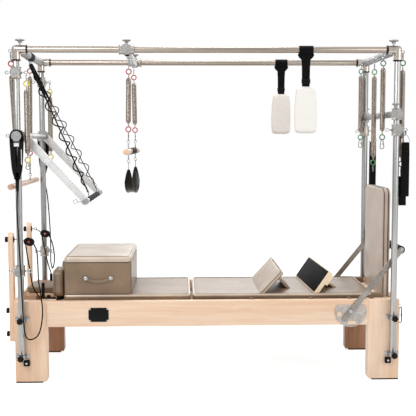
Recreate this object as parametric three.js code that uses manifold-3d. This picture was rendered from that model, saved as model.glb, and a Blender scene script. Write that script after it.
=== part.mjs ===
// Pilates trapeze table: a wooden carriage table under a tube canopy, with springs, straps, bars and pads.
// Millimetres. X runs from the head end to the foot end, Y from the front side to the back side, Z is up.
import * as THREE from "three";
import { mergeVertices } from "three/addons/utils/BufferGeometryUtils.js";
import Module from "manifold-3d";

const wasm = await Module();
wasm.setup();

// Driving dimensions of the whole table
const uprightSpan = 2247; // upright axis to upright axis along the table
const uprightGauge = 870; // upright axis to upright axis across the table
const canopyHeight = 2002; // axis of the top rails
const headX = -uprightSpan / 2; // axis of the head uprights
const footX = uprightSpan / 2; // axis of the foot uprights
const railTop = 500; // top of the wooden rails and legs
const matTop = 526; // top of the carriage pad and of the mat
const tubeRadius = 19; // canopy tubes
const uprightStandoff = 35; // upright axis to the outer face of the wood
const fit = 0.3; // clearance of pieces that touch or run in each other
const turnFit = 0.6; // clearance of pieces that turn in each other, between their corners
const sink = 1; // how far joined pieces reach into each other
const weldGap = 0.001; // vertices nearer than this are one vertex

// Facet counts
const tubeSides = 10;
const clampSides = 8;
const turnSides = 20;
const discSides = 10;
const rodSides = 6;
const wireSides = 3;
const neckSides = 4;
const wireStepsPerHalf = 3;
const ringStepsPerHalf = 4;
const ballSides = 8;
const ballBands = 4;
const curveSegments = 3;

// Legs, with foot pads, battens and upright brackets
const legOverhang = 48;
const legWidth = 192;
const legDepth = 70;
const legCorner = 18;
const footPadHeight = 5;
const footPadInset = 27;
const battenWidth = 90;
const battenThickness = 6;
const battenBottom = 155;
const bracketHeights = [397, 170];
const bracketTall = 20;
const bracketWall = 5;
const bracketTabReach = 12;
const bracketTabThickness = 3;
const starKnobRadius = 18.5;
const starKnobLobeShare = 0.1;
const starKnobLobes = 7;
const starKnobPoints = 14;
const starKnobThickness = 14;
const starKnobStem = 18;
const starKnobStemRadius = 6;
const stopBlockWidth = 36;
const stopBlockTall = 35;
const stopBlockBottom = 108;
const stopBlockDepth = 20;
const stopBlockInset = 22;
const studRadius = 7;
const studHeight = 2;

// Rails, tracks and end boards
const railThickness = 45;
const railDrop = 156;
const trackWidth = 25;
const trackThickness = 6;
const trackDrop = 64;
const trackLip = 5;
const trackLipTall = 12;
const headBoardThickness = 16;
const headBoardHalf = 334;
const headBoardBottom = 240;
const footBoardThickness = 30;
const footBoardBottom = railTop - railDrop;
const footShelfReach = 82;
const footShelfTop = railTop - 10;
const footShelfThickness = 20;

// Uprights and canopy
const uprightBottom = 154;
const elbowRadius = 25;
const elbowBallRadius = 23.5;
const elbowReach = 65;
const elbowCore = 26;
const collarRadius = 27.5;
const collarWidth = 6;
const sleeveRadius = 24;
const sleeveHalf = 390;
const sleeveRingRadius = 26.5;
const sleeveRingWidth = 8;
const topKnobInset = 24;
const topKnobStemRadius = 7;
const topKnobHeight = 51;
const topKnobRadius = 28.5;
const topKnobThickness = 9;
const wrapRadius = 27;
const wrapWidth = 44;
const wrapY = 30;

// Eyes, hooks and rings
const eyeRing = 9;
const eyeWire = 3;
const hookWire = 2.5;
const hookHalf = 8;
const hookGap = -0.45; // a wire with few sides is thinner between its corners
const eyeStemRadius = 4;
const springRing = 16;
const springRingWire = 3;

// Springs
const springRadius = 17;
const springWire = 4;
const springPitch = 125;
const springEndCone = 26;
const springEndPlate = 3;
const springNeckRadius = 3;
const stepsPerCurl = 6;
const curlSides = 4;

// Collars that clamp on the uprights
const clampRadius = 28;
const clampTall = 67;
const clampLipRadius = 31;
const clampLip = 7;
const clampStemRadius = 11;
const clampDiscRadius = 30;
const clampDiscStart = 40;
const clampDiscThickness = 12;
const clampEyeReach = 57;
const armClampDrop = 134; // below the top rails
const armClampHeight = canopyHeight - armClampDrop;
const pushClampDrop = 504; // below the top rails
const pushClampHeight = canopyHeight - pushClampDrop;
const lowClampRise = 195; // above the wooden rails
const lowClampHeight = railTop + lowClampRise;
const crossClampDrop = 377; // below the top rails
const crossClampHeight = canopyHeight - crossClampDrop;
const strapClampDrop = 94; // below the cross bar's clamps
const strapClampHeight = crossClampHeight - strapClampDrop;
const crossBarRadius = 20;
const crossRingRadius = 22;
const screwHandleRadius = 4;
const screwHandleRise = 30;
const screwHandleShift = 14;
const screwHandleOut = 24;
const screwHandleHalf = 20;

// Push-through bar
const pushPivotReach = 26.5; // from the head uprights towards the foot end
const pushPivotX = headX + pushPivotReach;
const pushMountRadius = 17;
const pushBarReach = 364; // from the pivot towards the foot end
const pushBarX = pushPivotX + pushBarReach;
const pushBarDrop = 391; // below the pivot
const pushBarZ = pushClampHeight - pushBarDrop;
const pushBarRadius = 14;
const pushGripRadius = 17;
const pushGripHalf = 290;
const pushBarHalf = 450;
const pushArmY = 380;
const pushArmThickness = 12;
const pushArmHalfWidth = 20;
const pushHubRadius = 26;
const pushEndRadius = 18;
const pushEndThickness = 8;
const pushEyeY = 240;
const pushEyeRise = 38;
const pushCordTopDrop = 0.8;
const pushCordSpread = 6.6;
const pushCordRadius = 3;
const pushCordEndReach = 10.8; // from the lower eye's middle to the cord's end
const pushBandRadius = 6;
const pushBandShare = 0.2;
const pushCurlEndShare = 0.93;
const pushCurlRadius = 30;
const pushCurlWire = 4;
const pushCurls = 7;

// Roll-down bar
const rollBarReach = 46.5; // out from the head uprights
const rollBarX = headX - rollBarReach;
const rollBarDrop = 805; // below the top rails
const rollBarZ = canopyHeight - rollBarDrop;
const rollBarRadius = 17;
const rollBarHalf = 450;
const rollEyeY = 200;
const rollEyeRise = 46;
const rollTopEyeY = 200;
const rollBody = 470;
const rollHook = 45;
const rollFrontHook = 55;
const rollFrontNeck = 50;
const rollBackNeck = 20;

// Springs that hang from the canopy and the clamps
const topEyeDrop = 10;
const footEyeStem = 8;
const footOuterEyeStem = 7;
const springNeck = 19;
const armSpringBody = 378;
const armHook = 44;
const armTail = 40;
const shortSpringBody = 392;
const shortHook = 32;
const shortNeck = 9;
const shortTail = 56;
const outerSpringBody = 525;
const outerHook = 43;
const outerNeck = 26;
const outerTail = 58;
const farSpringBody = 518;
const farHook = 69;
const farNeck = 9;
const farTail = 42;
const tailStrapWidth = 26;
const tailStrapThickness = 4;
const tailStrapDepth = 16;
const outerTailStrap = 130;
const farTailStrap = 90;
const farEyeReach = 6; // how much further from the bar this spring's eye stands
const outerSpringY = -400;
const shortFrontSpringY = -250;
const farSpringY = -40;
const shortBackSpringY = 395;

// Foot straps
const dRingHalf = 26;
const dRingTall = 48;
const dRingTopHalf = 9;
const footStrapHook = 26;
const footStrapWidth = 46;
const footStrapThickness = 5;
const footStrapDepth = 26;
const footStrapDrop = 401; // below its clamp
const footStrapBottom = strapClampHeight - footStrapDrop;
const footTailTall = 52;
const footTailShift = 14;

// Trapeze
const trapezeX = -478;
const trapezeSleeveHalf = 45;
const trapezeTubeRadius = 21;
const trapezeTubeDrop = 12;
const trapezeEyeY = 250;
const trapezeEyeX = 13;
const trapezeBarDrop = 600; // below the top rails
const trapezeBarZ = canopyHeight - trapezeBarDrop;
const trapezeBarRadius = 15;
const trapezeBarHalf = 400;
const trapezeBandRadius = 18;
const trapezeBandHalf = 175;
const trapezeEyeRise = 61;
const trapezeEyeDrop = 59;
const trapezeBody = 280;
const trapezeHook = 52;
const slingClipLength = 46;
const slingSag = 134;
const slingDrift = 18;
const slingThickness = 8;
const slingHalfWidth = 34;
const slingWidthShares = [0.25, 0.55, 0.85, 1, 1, 0.85, 0.55, 0.25];

// Fleece loops
const fleeceX = 579;
const fleeceBackX = 533;
const fleeceWrapHalf = 42;
const fleeceWrapThickness = 5;
const fleeceStrapHalf = 22;
const fleeceStrapThickness = 6;
const fleeceTopDrop = 215; // below the top rails
const fleeceTop = canopyHeight - fleeceTopDrop;
const fleeceLength = 275;
const fleeceBottom = fleeceTop - fleeceLength;
const fleeceHalf = 61;
const fleeceThickness = 15;
const fleeceDepth = 46;

// Pulley risers at the head end
const riserThickness = 38;
const riserHalf = 30;
const riserY = 300;
const riserRise = 412; // above the wooden rails
const riserTop = railTop + riserRise;
const riserBoltDrop = 44; // below the riser's top
const riserBoltHeight = riserTop - riserBoltDrop;
const riserFlangeRadius = 20;
const riserFlangeThickness = 4;
const riserKnobRadius = 15;
const riserKnobLength = 20;
const riserLowKnobHeights = [428, 283];
const riserEyeReach = 28;

// Pulleys
const pulleyReach = 29.5; // from the head uprights towards the foot end
const pulleyX = headX + pulleyReach;
const pulleyFrontZ = riserBoltHeight - 15;
const pulleyBackZ = riserBoltHeight - 33;
const pulleyHalfLength = 32.5;
const pulleyHalfHeight = 23.5;
const pulleyCheek = 4;
const pulleyInnerHalf = 7;
const pulleyGroove = 15;
const pulleyFlange = 18.5;
const pulleyAxle = 5;
const pulleyHubThickness = 2;
const pulleyBridge = 6;
const pulleyBridgeHalf = 9;
const pulleyTilt = 0.26;

// Ropes
const ropeRadius = 4;
const ropeSides = 8;
const ropeStepsPerRun = 2;
const handLoopWire = 4.5;
const handLoopHalf = 34;
const handLoopTop = pushClampHeight + 16.7;
const handLoopDrop = 308; // below the clamps that the loops hang on
const handLoopBottom = pushClampHeight - handLoopDrop;
const handLoopY = 469;

// Carriage
const deckInset = 158.5; // from the head uprights
const deckLeft = headX + deckInset;
const deckLength = 859;
const deckRight = deckLeft + deckLength;
const deckHalf = 350;
const deckTop = railTop - 14;
const deckThickness = 18;
const padInset = 80;
const padLeft = deckLeft + padInset;
const padHalf = 322;
const padCorner = 20;
const padEdge = 7;
const padCrown = 3;
const wheelWidth = 14;
const wheelInset = 60;
const headTongueLength = 185;
const headTongueLeft = deckLeft - headTongueLength;
const headTongueHalf = 110;
const headTongueTop = railTop;
const headTongueThickness = 18;
const headrestHalf = 120;
const headrestTop = matTop + 16;
const headrestEdge = 6;
const headBlockWidth = 30;
const headBlockTall = 6;
const ropePostBackReach = 93;
const ropePostBackX = deckLeft - ropePostBackReach;
const ropePostFrontReach = 48;
const ropePostFrontX = deckLeft - ropePostFrontReach;
const ropeBlockReach = 12;
const ropeBlockHalf = 15;
const ropeBlockTop = railTop;
const ropePostRadius = 10;
const ropePostFrontTall = 100;
const ropePostFrontTop = railTop + ropePostFrontTall;
const ropePostBackTall = 60;
const ropePostBackTop = railTop + ropePostBackTall;
const restInset = 10;
const restLeft = deckLeft + restInset;
const restThickness = 66;
const restInnerY = 100;
const restOuterY = 300;
const restRise = 150; // above the pad
const restTop = matTop + restRise;
const restEdge = 9;
const restRound = 40;
const restFootTall = 20;
const restFootInset = 20;

// Sitting box
const boxInset = 3; // from the pad's end
const boxLeft = padLeft + boxInset;
const boxLength = 413;
const boxRight = boxLeft + boxLength;
const boxHalf = 318;
const boxHeight = 239; // above the pad
const boxTop = matTop + boxHeight;
const boxLid = 42;
const boxGroove = 5;
const seamInsetShare = 0.4;
const boxCorner = 14;
const boxEdge = 5;
const handleInset = 132; // from the box's end
const handleLeft = boxLeft + handleInset;
const handleSpan = 154;
const handleRight = handleLeft + handleSpan;
const handleDrop = 139; // below the box's top
const handleZ = boxTop - handleDrop;
const handleSag = 34;
const handleStrap = 24;
const handleThickness = 5;
const handleStudRadius = 13;
const handleStudTall = 7;

// Mat converter
const converterGap = 12; // between the carriage and the mat
const converterLeft = deckRight + converterGap;
const converterInset = 33.5; // from the foot uprights
const converterRight = footX - converterInset;
const notchDepth = 60;
const notchLeft = converterRight - notchDepth;
const notchHalf = 264;
const converterBoard = 16;
const tabInsets = [822, 457, 220, 85]; // from the mat's foot end
const tabXs = tabInsets.map((inset) => converterRight - inset);
const tabHalf = 14;
const tabTall = 14;
const tabReach = 46;

// Wedge pad on the mat
const wedgeHalf = 310;
const wedgeFootShare = 0.365; // of the mat's length
const wedgeFootX = converterLeft + wedgeFootShare * (converterRight - converterLeft);
const wedgePanel = 176;
const wedgeThickness = 34;
const wedgeAngle = 0.82;
const wedgeSpread = 168;
const wedgePropX = wedgeFootX + wedgeSpread;
const wedgePropThickness = 20;
const wedgePropShare = 0.68;

// Grip board on the mat
const gripHalf = 318;
const gripFootShare = 0.6325; // of the mat's length
const gripFootX = converterLeft + gripFootShare * (converterRight - converterLeft);
const gripPanel = 158;
const gripThickness = 38;
const gripRubber = 4;
const gripRubberInset = 8;
const gripAngle = 0.96;
const gripSpread = 151;
const gripPropX = gripFootX + gripSpread;
const gripPropThickness = 18;
const gripPropShare = 0.62;
const gripStep = 14;
const gripYaw = 0.044;

// Jump board
const jumpInset = 31.5; // from the foot uprights
const jumpFront = footX - jumpInset;
const jumpPad = 32;
const jumpWood = 15;
const jumpHalf = 258;
const jumpRise = 670; // above the wooden rails
const jumpTop = railTop + jumpRise;
const jumpCorner = 50;
const jumpPadRise = 60;
const jumpPadBottom = railTop + jumpPadRise;
const jumpEdge = 6;

// Footbar and its plates
const plateInset = 253.5; // from the foot uprights
const plateX = footX - plateInset;
const plateDrop = 70; // below the rail's top
const plateZ = railTop - plateDrop;
const plateRadius = 98;
const plateRise = 40;
const plateTop = plateZ + plateRise;
const plateThickness = 4;
const plateCorner = 12;
const plateWindowWide = 54;
const plateWindowTall = 28;
const plateSlotWide = 31;
const plateSlotTall = 33;
const plateWindowX = plateX + 9;
const plateWindowZ = plateZ - 74;
const plateSlotX = plateX - 68;
const plateSlotZ = plateZ - 17;
const pivotRadius = 7;
const pivotHeadRadius = 12;
const pivotHead = 3;
const footbarReach = 302; // from the pins towards the foot end
const footbarX = plateX + footbarReach;
const footbarRise = 375; // above the pins
const footbarZ = plateZ + footbarRise;
const footArmHalf = 17;
const footArmThickness = 6;
const footArmTail = 62;
const footArmGap = 1;
const footbarRadius = 24;
const footbarGripInset = 8;

const woodFace = uprightGauge / 2 - uprightStandoff;
const legOuter = uprightSpan / 2 + legOverhang;
const legInner = legOuter - legWidth;
const hookDrop = eyeRing - eyeWire - hookWire - hookGap;
const headCrossX = headX - elbowRadius - eyeRing;
const footOuterX = footX + elbowRadius + footOuterEyeStem + eyeRing;
const footInnerX = footX - sleeveRadius - footEyeStem - eyeRing;

const sideSigns = [
  ["front", -1],
  ["back", 1],
];
const endSigns = [
  ["head", -1],
  ["foot", 1],
];

const alongX = new THREE.Vector3(1, 0, 0);
const alongY = new THREE.Vector3(0, 1, 0);
const alongZ = new THREE.Vector3(0, 0, 1);
const downward = new THREE.Vector3(0, 0, -1);

function at(x, y, z) {
  return new THREE.Vector3(x, y, z);
}

// The point a distance along a direction from another point.
function from(start, direction, distance) {
  return start.clone().addScaledVector(direction, distance);
}

// A closed geometry as a solid whose faces point out.
function solid(geometry) {
  const bare = new THREE.BufferGeometry();
  bare.setAttribute("position", geometry.getAttribute("position").clone());
  if (geometry.index) bare.setIndex(geometry.index.clone());
  const merged = mergeVertices(bare.index ? bare.toNonIndexed() : bare, weldGap);
  const corners = merged.index.array;
  const kept = [];
  for (let i = 0; i < corners.length; i += 3) {
    const [a, b, c] = [corners[i], corners[i + 1], corners[i + 2]];
    if (a !== b && b !== c && c !== a) kept.push([a, b, c]);
  }
  const made = (faces) =>
    new wasm.Manifold(
      new wasm.Mesh({
        numProp: 3,
        vertProperties: merged.attributes.position.array,
        triVerts: new Uint32Array(faces.flat()),
      }),
    );
  const body = made(kept);
  return body.volume() < 0 ? made(kept.map(([a, b, c]) => [a, c, b])) : body;
}

function fuse(...bodies) {
  return bodies.flat().reduce((sum, body) => sum.add(body));
}

function cut(body, ...tools) {
  return tools.flat().reduce((rest, tool) => rest.subtract(tool), body);
}

function box(x0, x1, y0, y1, z0, z1) {
  const shape = new THREE.BoxGeometry(Math.abs(x1 - x0), Math.abs(y1 - y0), Math.abs(z1 - z0));
  shape.translate((x0 + x1) / 2, (y0 + y1) / 2, (z0 + z1) / 2);
  return solid(shape);
}

// A round rod between two points.
function rod(start, end, radius, sides = tubeSides) {
  const axis = end.clone().sub(start);
  const shape = new THREE.CylinderGeometry(radius, radius, axis.length(), sides);
  shape.applyQuaternion(new THREE.Quaternion().setFromUnitVectors(alongY, axis.normalize()));
  shape.translate((start.x + end.x) / 2, (start.y + end.y) / 2, (start.z + end.z) / 2);
  return solid(shape);
}

// A profile of [radius, distance] pairs turned about a line through a point.
function turned(profile, start, direction, sides = clampSides) {
  const points = profile.map(([radius, distance]) => new THREE.Vector2(radius, distance));
  const shape = new THREE.LatheGeometry(points, sides);
  shape.applyQuaternion(new THREE.Quaternion().setFromUnitVectors(alongY, direction.clone().normalize()));
  shape.translate(start.x, start.y, start.z);
  return solid(shape);
}

// An outline drawn in X and Z, from one Y to another.
function sideways(outline, y0, y1) {
  const shape = new THREE.ExtrudeGeometry(outline, {
    depth: Math.abs(y1 - y0),
    bevelEnabled: false,
    curveSegments,
  });
  shape.rotateX(Math.PI / 2);
  shape.translate(0, Math.max(y0, y1), 0);
  return solid(shape);
}

// An outline drawn in Y and Z, from one X to another.
function lengthways(outline, x0, x1) {
  const shape = new THREE.ExtrudeGeometry(outline, {
    depth: Math.abs(x1 - x0),
    bevelEnabled: false,
    curveSegments,
  });
  shape.applyMatrix4(new THREE.Matrix4().makeBasis(alongY, alongZ, alongX));
  shape.translate(Math.min(x0, x1), 0, 0);
  return solid(shape);
}

// An outline drawn in X and Y, from one height to another.
function upward(outline, z0, z1) {
  const shape = new THREE.ExtrudeGeometry(outline, { depth: z1 - z0, bevelEnabled: false, curveSegments });
  shape.translate(0, 0, z0);
  return solid(shape);
}

// A skin over rings of points with equal counts, closed on itself or capped at both ends.
function loft(rings, closed = false) {
  const count = rings[0].length;
  const last = (rings.length - 1) * count;
  const faces = [];
  rings.slice(closed ? 0 : 1).forEach((_, step) => {
    const low = step * count;
    const high = ((step + 1) % rings.length) * count;
    for (let i = 0; i < count; i += 1) {
      const next = (i + 1) % count;
      faces.push(low + i, low + next, high + next);
      faces.push(low + i, high + next, high + i);
    }
  });
  for (let i = 1; !closed && i < count - 1; i += 1) {
    faces.push(0, i + 1, i);
    faces.push(last, last + i, last + i + 1);
  }
  const shape = new THREE.BufferGeometry().setFromPoints(rings.flat());
  shape.setIndex(faces);
  return solid(shape);
}

// The corners of a round section in the plane of two unit vectors.
function section(centre, across, over, radius, sides) {
  return Array.from({ length: sides }, (_, i) => {
    const turn = (2 * Math.PI * i) / sides;
    const edge = from(centre, across, radius * Math.cos(turn));
    return from(edge, over, radius * Math.sin(turn));
  });
}

// A closed wire through points that lie in a plane with the given normal.
function wireLoop(points, normal, wire, sides = wireSides) {
  const rings = points.map((centre, i) => {
    const before = points[(i + points.length - 1) % points.length];
    const after = points[(i + 1) % points.length];
    const outward = after.clone().sub(before).cross(normal).normalize();
    return section(centre, outward, normal, wire, sides);
  });
  return loft(rings, true);
}

// A long link: two half rings about two centres, in the plane of the line between them and of a second
// direction.
function link(top, bottom, along, across, radius, wire, steps = wireStepsPerHalf) {
  const normal = along.clone().cross(across).normalize();
  const points = [];
  [
    [top, -1],
    [bottom, 1],
  ].forEach(([centre, way]) => {
    for (let i = 0; i <= steps; i += 1) {
      if (i === steps && top === bottom) continue;
      const turn = (Math.PI * i) / steps;
      const side = from(centre, across, -way * radius * Math.cos(turn));
      points.push(from(side, along, way * radius * Math.sin(turn)));
    }
  });
  return wireLoop(points, normal, wire);
}

// A round ring in the plane of two directions.
function ring(centre, along, across, radius = eyeRing, wire = eyeWire) {
  const steps = radius > eyeRing ? ringStepsPerHalf : wireStepsPerHalf;
  return link(centre, centre, along, across, radius, wire, steps);
}

// A screw eye: a stem from a surface and a ring at its end, with a second direction for the ring's plane.
function screwEye(surface, centre, across) {
  const direction = centre.clone().sub(surface).normalize();
  const stemEnd = from(centre, direction, -eyeRing);
  const stem = rod(from(surface, direction, -sink), stemEnd, eyeStemRadius, neckSides);
  return fuse(stem, ring(centre, across, direction));
}

// Centres along a coil between two points, with a straight run at each end.
function coilCentres(start, end, radius, wire, curls) {
  const axis = end.clone().sub(start).normalize();
  const over = new THREE.Vector3().crossVectors(
    axis,
    Math.abs(axis.x) > Math.abs(axis.y) ? alongY : alongX,
  );
  over.normalize();
  const across = over.clone().cross(axis).normalize();
  const run = 2 * wire;
  const length = start.distanceTo(end) - 2 * run;
  const steps = curls * stepsPerCurl;
  const centres = [from(start, across, radius)];
  for (let i = 0; i <= steps; i += 1) {
    const turn = (2 * Math.PI * i) / stepsPerCurl;
    const level = from(start, axis, run + (length * i) / steps);
    const side = from(level, across, radius * Math.cos(turn));
    centres.push(from(side, over, radius * Math.sin(turn)));
  }
  centres.push(from(end, across, radius));
  return centres;
}

// The least gap between the turns of a coil, measured on its centres.
function leastCoilGap(centres, wire) {
  let least = Infinity;
  centres.forEach((centre, i) => {
    centres.slice(i + stepsPerCurl / 2).forEach((other) => {
      least = Math.min(least, centre.distanceTo(other) - 2 * wire);
    });
  });
  return least;
}

const coilGaps = [];

// One unbroken wire wound between two points.
function coil(start, end, radius, wire, curls) {
  const centres = coilCentres(start, end, radius, wire, curls);
  coilGaps.push(leastCoilGap(centres, wire));
  let across = null;
  const rings = centres.map((centre, i) => {
    const before = centres[Math.max(i - 1, 0)];
    const after = centres[Math.min(i + 1, centres.length - 1)];
    const ahead = after.clone().sub(before).normalize();
    if (!across) across = Math.abs(ahead.x) > Math.abs(ahead.y) ? alongY.clone() : alongX.clone();
    across = across.addScaledVector(ahead, -across.dot(ahead)).normalize();
    return section(centre, across, ahead.clone().cross(across), wire, curlSides);
  });
  return loft(rings);
}

// A rounded rectangle as a ring of points at a height, drawn in by an inset.
function roundedRing(halfWide, halfDeep, corner, inset, z) {
  const points = [];
  const reach = Math.max(corner - inset, corner / 2);
  [
    [1, 1],
    [-1, 1],
    [-1, -1],
    [1, -1],
  ].forEach(([signX, signY], quarter) => {
    for (let i = 0; i < curveSegments; i += 1) {
      const turn = (Math.PI / 2) * (quarter + i / (curveSegments - 1));
      const x = signX * (halfWide - inset - reach) + reach * Math.cos(turn);
      const y = signY * (halfDeep - inset - reach) + reach * Math.sin(turn);
      points.push(at(x, y, z));
    }
  });
  return points;
}

// Heights and insets of a cushion's side, from its base to its rim.
const cushionShares = [
  [0, 0.8],
  [0.22, 0.1],
  [0.5, 0],
  [0.8, 0.2],
  [0.95, 0.75],
];
const crownInsetShare = 0.35;

// A cushion on the plane Z = 0: drawn-in sides, a soft rim and a crowned top.
function cushionRings(wide, deep, tall, corner, edge, crown, shares = cushionShares) {
  const rings = shares.map(([height, inset]) =>
    roundedRing(wide / 2, deep / 2, corner, inset * edge, height * (tall - crown)),
  );
  const crownInset = crownInsetShare * Math.min(wide, deep) / 2;
  rings.push(roundedRing(wide / 2, deep / 2, corner, 2 * edge, tall - crown));
  rings.push(roundedRing(wide / 2, deep / 2, 2 * corner, crownInset, tall));
  return rings;
}

function placed(rings, matrix) {
  return loft(rings.map((points) => points.map((point) => point.clone().applyMatrix4(matrix))));
}

// A cushion between corners, lying flat.
function cushion(x0, x1, y0, y1, z0, z1, corner, edge, crown, shares = cushionShares) {
  const centre = new THREE.Matrix4().makeTranslation((x0 + x1) / 2, (y0 + y1) / 2, z0);
  return placed(cushionRings(x1 - x0, y1 - y0, z1 - z0, corner, edge, crown, shares), centre);
}

// A band that hangs in a long loop, seen along its width: two layers with round ends.
function bandLoop(x0, x1, y, top, bottom, depth, thickness) {
  const outline = stadium(y, top - depth / 2, bottom + depth / 2, depth / 2);
  const inner = stadium(y, top - depth / 2, bottom + depth / 2, depth / 2 - thickness);
  outline.holes.push(inner);
  return lengthways(outline, x0, x1);
}

// An upright outline with half-round ends.
function stadium(centre, top, bottom, radius) {
  const outline = new THREE.Shape();
  outline.absarc(centre, top, radius, 0, Math.PI, false);
  outline.absarc(centre, bottom, radius, Math.PI, 2 * Math.PI, false);
  outline.closePath();
  return outline;
}

const part = new THREE.Group();
const cordNames = [];

const looks = {
  wood: [0xe8c9a4, 0.55, 0],
  darkWood: [0xd9b58a, 0.6, 0],
  tube: [0xc9c4bc, 0.25, 0.9],
  clamp: [0x8f9090, 0.5, 0.7],
  spring: [0x9b8a7c, 0.4, 0.8],
  leather: [0xd8cabc, 0.7, 0],
  black: [0x191919, 0.8, 0],
  fleece: [0xece8de, 0.95, 0],
  plate: [0xa9abad, 0.45, 0.8],
};

// Adds one named sub-part.
function add(name, body, look, isCord = false) {
  const mesh = body.getMesh();
  const shape = new THREE.BufferGeometry();
  shape.setAttribute("position", new THREE.BufferAttribute(new Float32Array(mesh.vertProperties), 3));
  shape.setIndex(new THREE.BufferAttribute(mesh.triVerts, 1));
  const [color, roughness, metalness] = looks[look];
  const node = new THREE.Mesh(shape, new THREE.MeshStandardMaterial({ color, roughness, metalness }));
  node.name = name;
  part.add(node);
  if (isCord) cordNames.push(name);
}

// Legs

function starKnob(x, y, z, sideSign) {
  const outline = new THREE.Shape();
  for (let i = 0; i < starKnobPoints; i += 1) {
    const turn = (2 * Math.PI * i) / starKnobPoints;
    const radius = starKnobRadius * (1 + starKnobLobeShare * Math.cos(starKnobLobes * turn));
    const place = [x + radius * Math.cos(turn), z + radius * Math.sin(turn)];
    if (i) outline.lineTo(...place);
    else outline.moveTo(...place);
  }
  outline.closePath();
  const near = y + sideSign * starKnobStem;
  const stem = rod(
    at(x, y - sideSign * sink, z),
    at(x, near + sideSign * sink, z),
    starKnobStemRadius,
    rodSides,
  );
  return fuse(stem, sideways(outline, near, near + sideSign * starKnobThickness));
}

// A saddle round the upright with two tabs on the batten and a star knob.
function uprightBracket(x, sideSign, height) {
  const axisY = sideSign * (uprightGauge / 2);
  const base = sideSign * (woodFace + battenThickness - sink);
  const tabFace = base + sideSign * (bracketTabThickness + sink);
  const half = tubeRadius + fit + bracketWall;
  const front = axisY + sideSign * half;
  const tabHalf = half + bracketTabReach;
  const corners = [
    [-tabHalf, base],
    [tabHalf, base],
    [tabHalf, tabFace],
    [half, tabFace],
    [half, front],
    [-half, front],
    [-half, tabFace],
    [-tabHalf, tabFace],
  ].map(([across, y]) => new THREE.Vector2(x + across, y));
  const outline = new THREE.Shape(sideSign < 0 ? corners.reverse() : corners);
  const bore = section(at(x, axisY, 0), alongY, alongX, tubeRadius + fit, tubeSides);
  outline.holes.push(new THREE.Path(bore.map((corner) => new THREE.Vector2(corner.x, corner.y))));
  const saddle = upward(outline, height - bracketTall / 2, height + bracketTall / 2);
  return fuse(saddle, starKnob(x, front, height, sideSign));
}

function leg(endSign, sideSign) {
  const outer = endSign * legOuter;
  const inner = endSign * legInner;
  const axisX = endSign * (uprightSpan / 2);
  const face = sideSign * woodFace;
  const outline = new THREE.Shape();
  outline.moveTo(outer, footPadHeight);
  outline.lineTo(outer, railTop);
  outline.lineTo(inner, railTop);
  outline.lineTo(inner, footPadHeight + legCorner);
  outline.quadraticCurveTo(inner, footPadHeight, inner + endSign * legCorner, footPadHeight);
  outline.closePath();
  const post = sideways(outline, face, face - sideSign * legDepth);
  const pad = box(
    outer - endSign * footPadInset / 2,
    inner + endSign * footPadInset,
    face - sideSign * (footPadInset / 2),
    face - sideSign * (legDepth - footPadInset / 2),
    0,
    footPadHeight + sink,
  );
  const batten = box(
    axisX - battenWidth / 2,
    axisX + battenWidth / 2,
    face - sideSign * sink,
    face + sideSign * battenThickness,
    battenBottom,
    bracketHeights[0] + bracketTall / 2,
  );
  const stopX = axisX - endSign * stopBlockInset;
  const stopFace = face + sideSign * stopBlockDepth;
  const stopMiddle = stopBlockBottom + stopBlockTall / 2;
  const stop = box(
    stopX - stopBlockWidth / 2,
    stopX + stopBlockWidth / 2,
    face - sideSign * sink,
    stopFace,
    stopBlockBottom,
    stopBlockBottom + stopBlockTall,
  );
  const stud = rod(
    at(stopX, stopFace - sideSign * sink, stopMiddle),
    at(stopX, stopFace + sideSign * studHeight, stopMiddle),
    studRadius,
    rodSides,
  );
  const brackets = bracketHeights.map((height) => uprightBracket(axisX, sideSign, height));
  return fuse(post, pad, batten, stop, stud, brackets);
}

// Rails, tracks, plates and end boards

// A half disc with a flat top, two windows and the pin that carries a footbar arm.
function footbarPlate(sideSign) {
  const rise = plateTop - plateZ;
  const half = Math.sqrt(plateRadius ** 2 - rise ** 2);
  const startTurn = Math.asin(rise / plateRadius);
  const outline = new THREE.Shape();
  outline.moveTo(plateX - half + plateCorner, plateTop);
  outline.lineTo(plateX + half - plateCorner, plateTop);
  outline.absarc(plateX, plateZ, plateRadius, startTurn / 2, Math.PI - startTurn / 2, true);
  outline.closePath();
  const near = sideSign * (woodFace + fit);
  const far = near + sideSign * plateThickness;
  const disc = sideways(outline, near, far);
  const overrun = sideSign * sink;
  const window = box(
    plateWindowX - plateWindowWide / 2,
    plateWindowX + plateWindowWide / 2,
    near - overrun,
    far + overrun,
    plateWindowZ - plateWindowTall / 2,
    plateWindowZ + plateWindowTall / 2,
  );
  const slot = box(
    plateSlotX - plateSlotWide / 2,
    plateSlotX + plateSlotWide / 2,
    near - overrun,
    far + overrun,
    plateSlotZ - plateSlotTall / 2,
    plateSlotZ + plateSlotTall / 2,
  );
  const reach = plateThickness + 2 * footArmGap + footArmThickness;
  const pin = turned(
    [
      [0, 0],
      [pivotRadius, 0],
      [pivotRadius, reach],
      [pivotHeadRadius, reach],
      [pivotHeadRadius, reach + pivotHead],
      [0, reach + pivotHead],
    ],
    at(plateX, near, plateZ),
    at(0, sideSign, 0),
  );
  return fuse(cut(disc, window, slot), pin);
}

function sideRail(sideSign) {
  const face = sideSign * woodFace;
  const inner = face - sideSign * railThickness;
  const left = -legInner + fit;
  const right = legInner - fit;
  const board = box(left, right, inner, face, railTop - railDrop, railTop);
  const trackEdge = inner - sideSign * trackWidth;
  const trackZ = railTop - trackDrop;
  const ledge = box(left, right, inner + sideSign * sink, trackEdge, trackZ - trackThickness, trackZ);
  const lip = box(left, right, trackEdge, trackEdge + sideSign * trackLip, trackZ - trackLipTall, trackZ);
  return fuse(board, ledge, lip);
}

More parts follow.
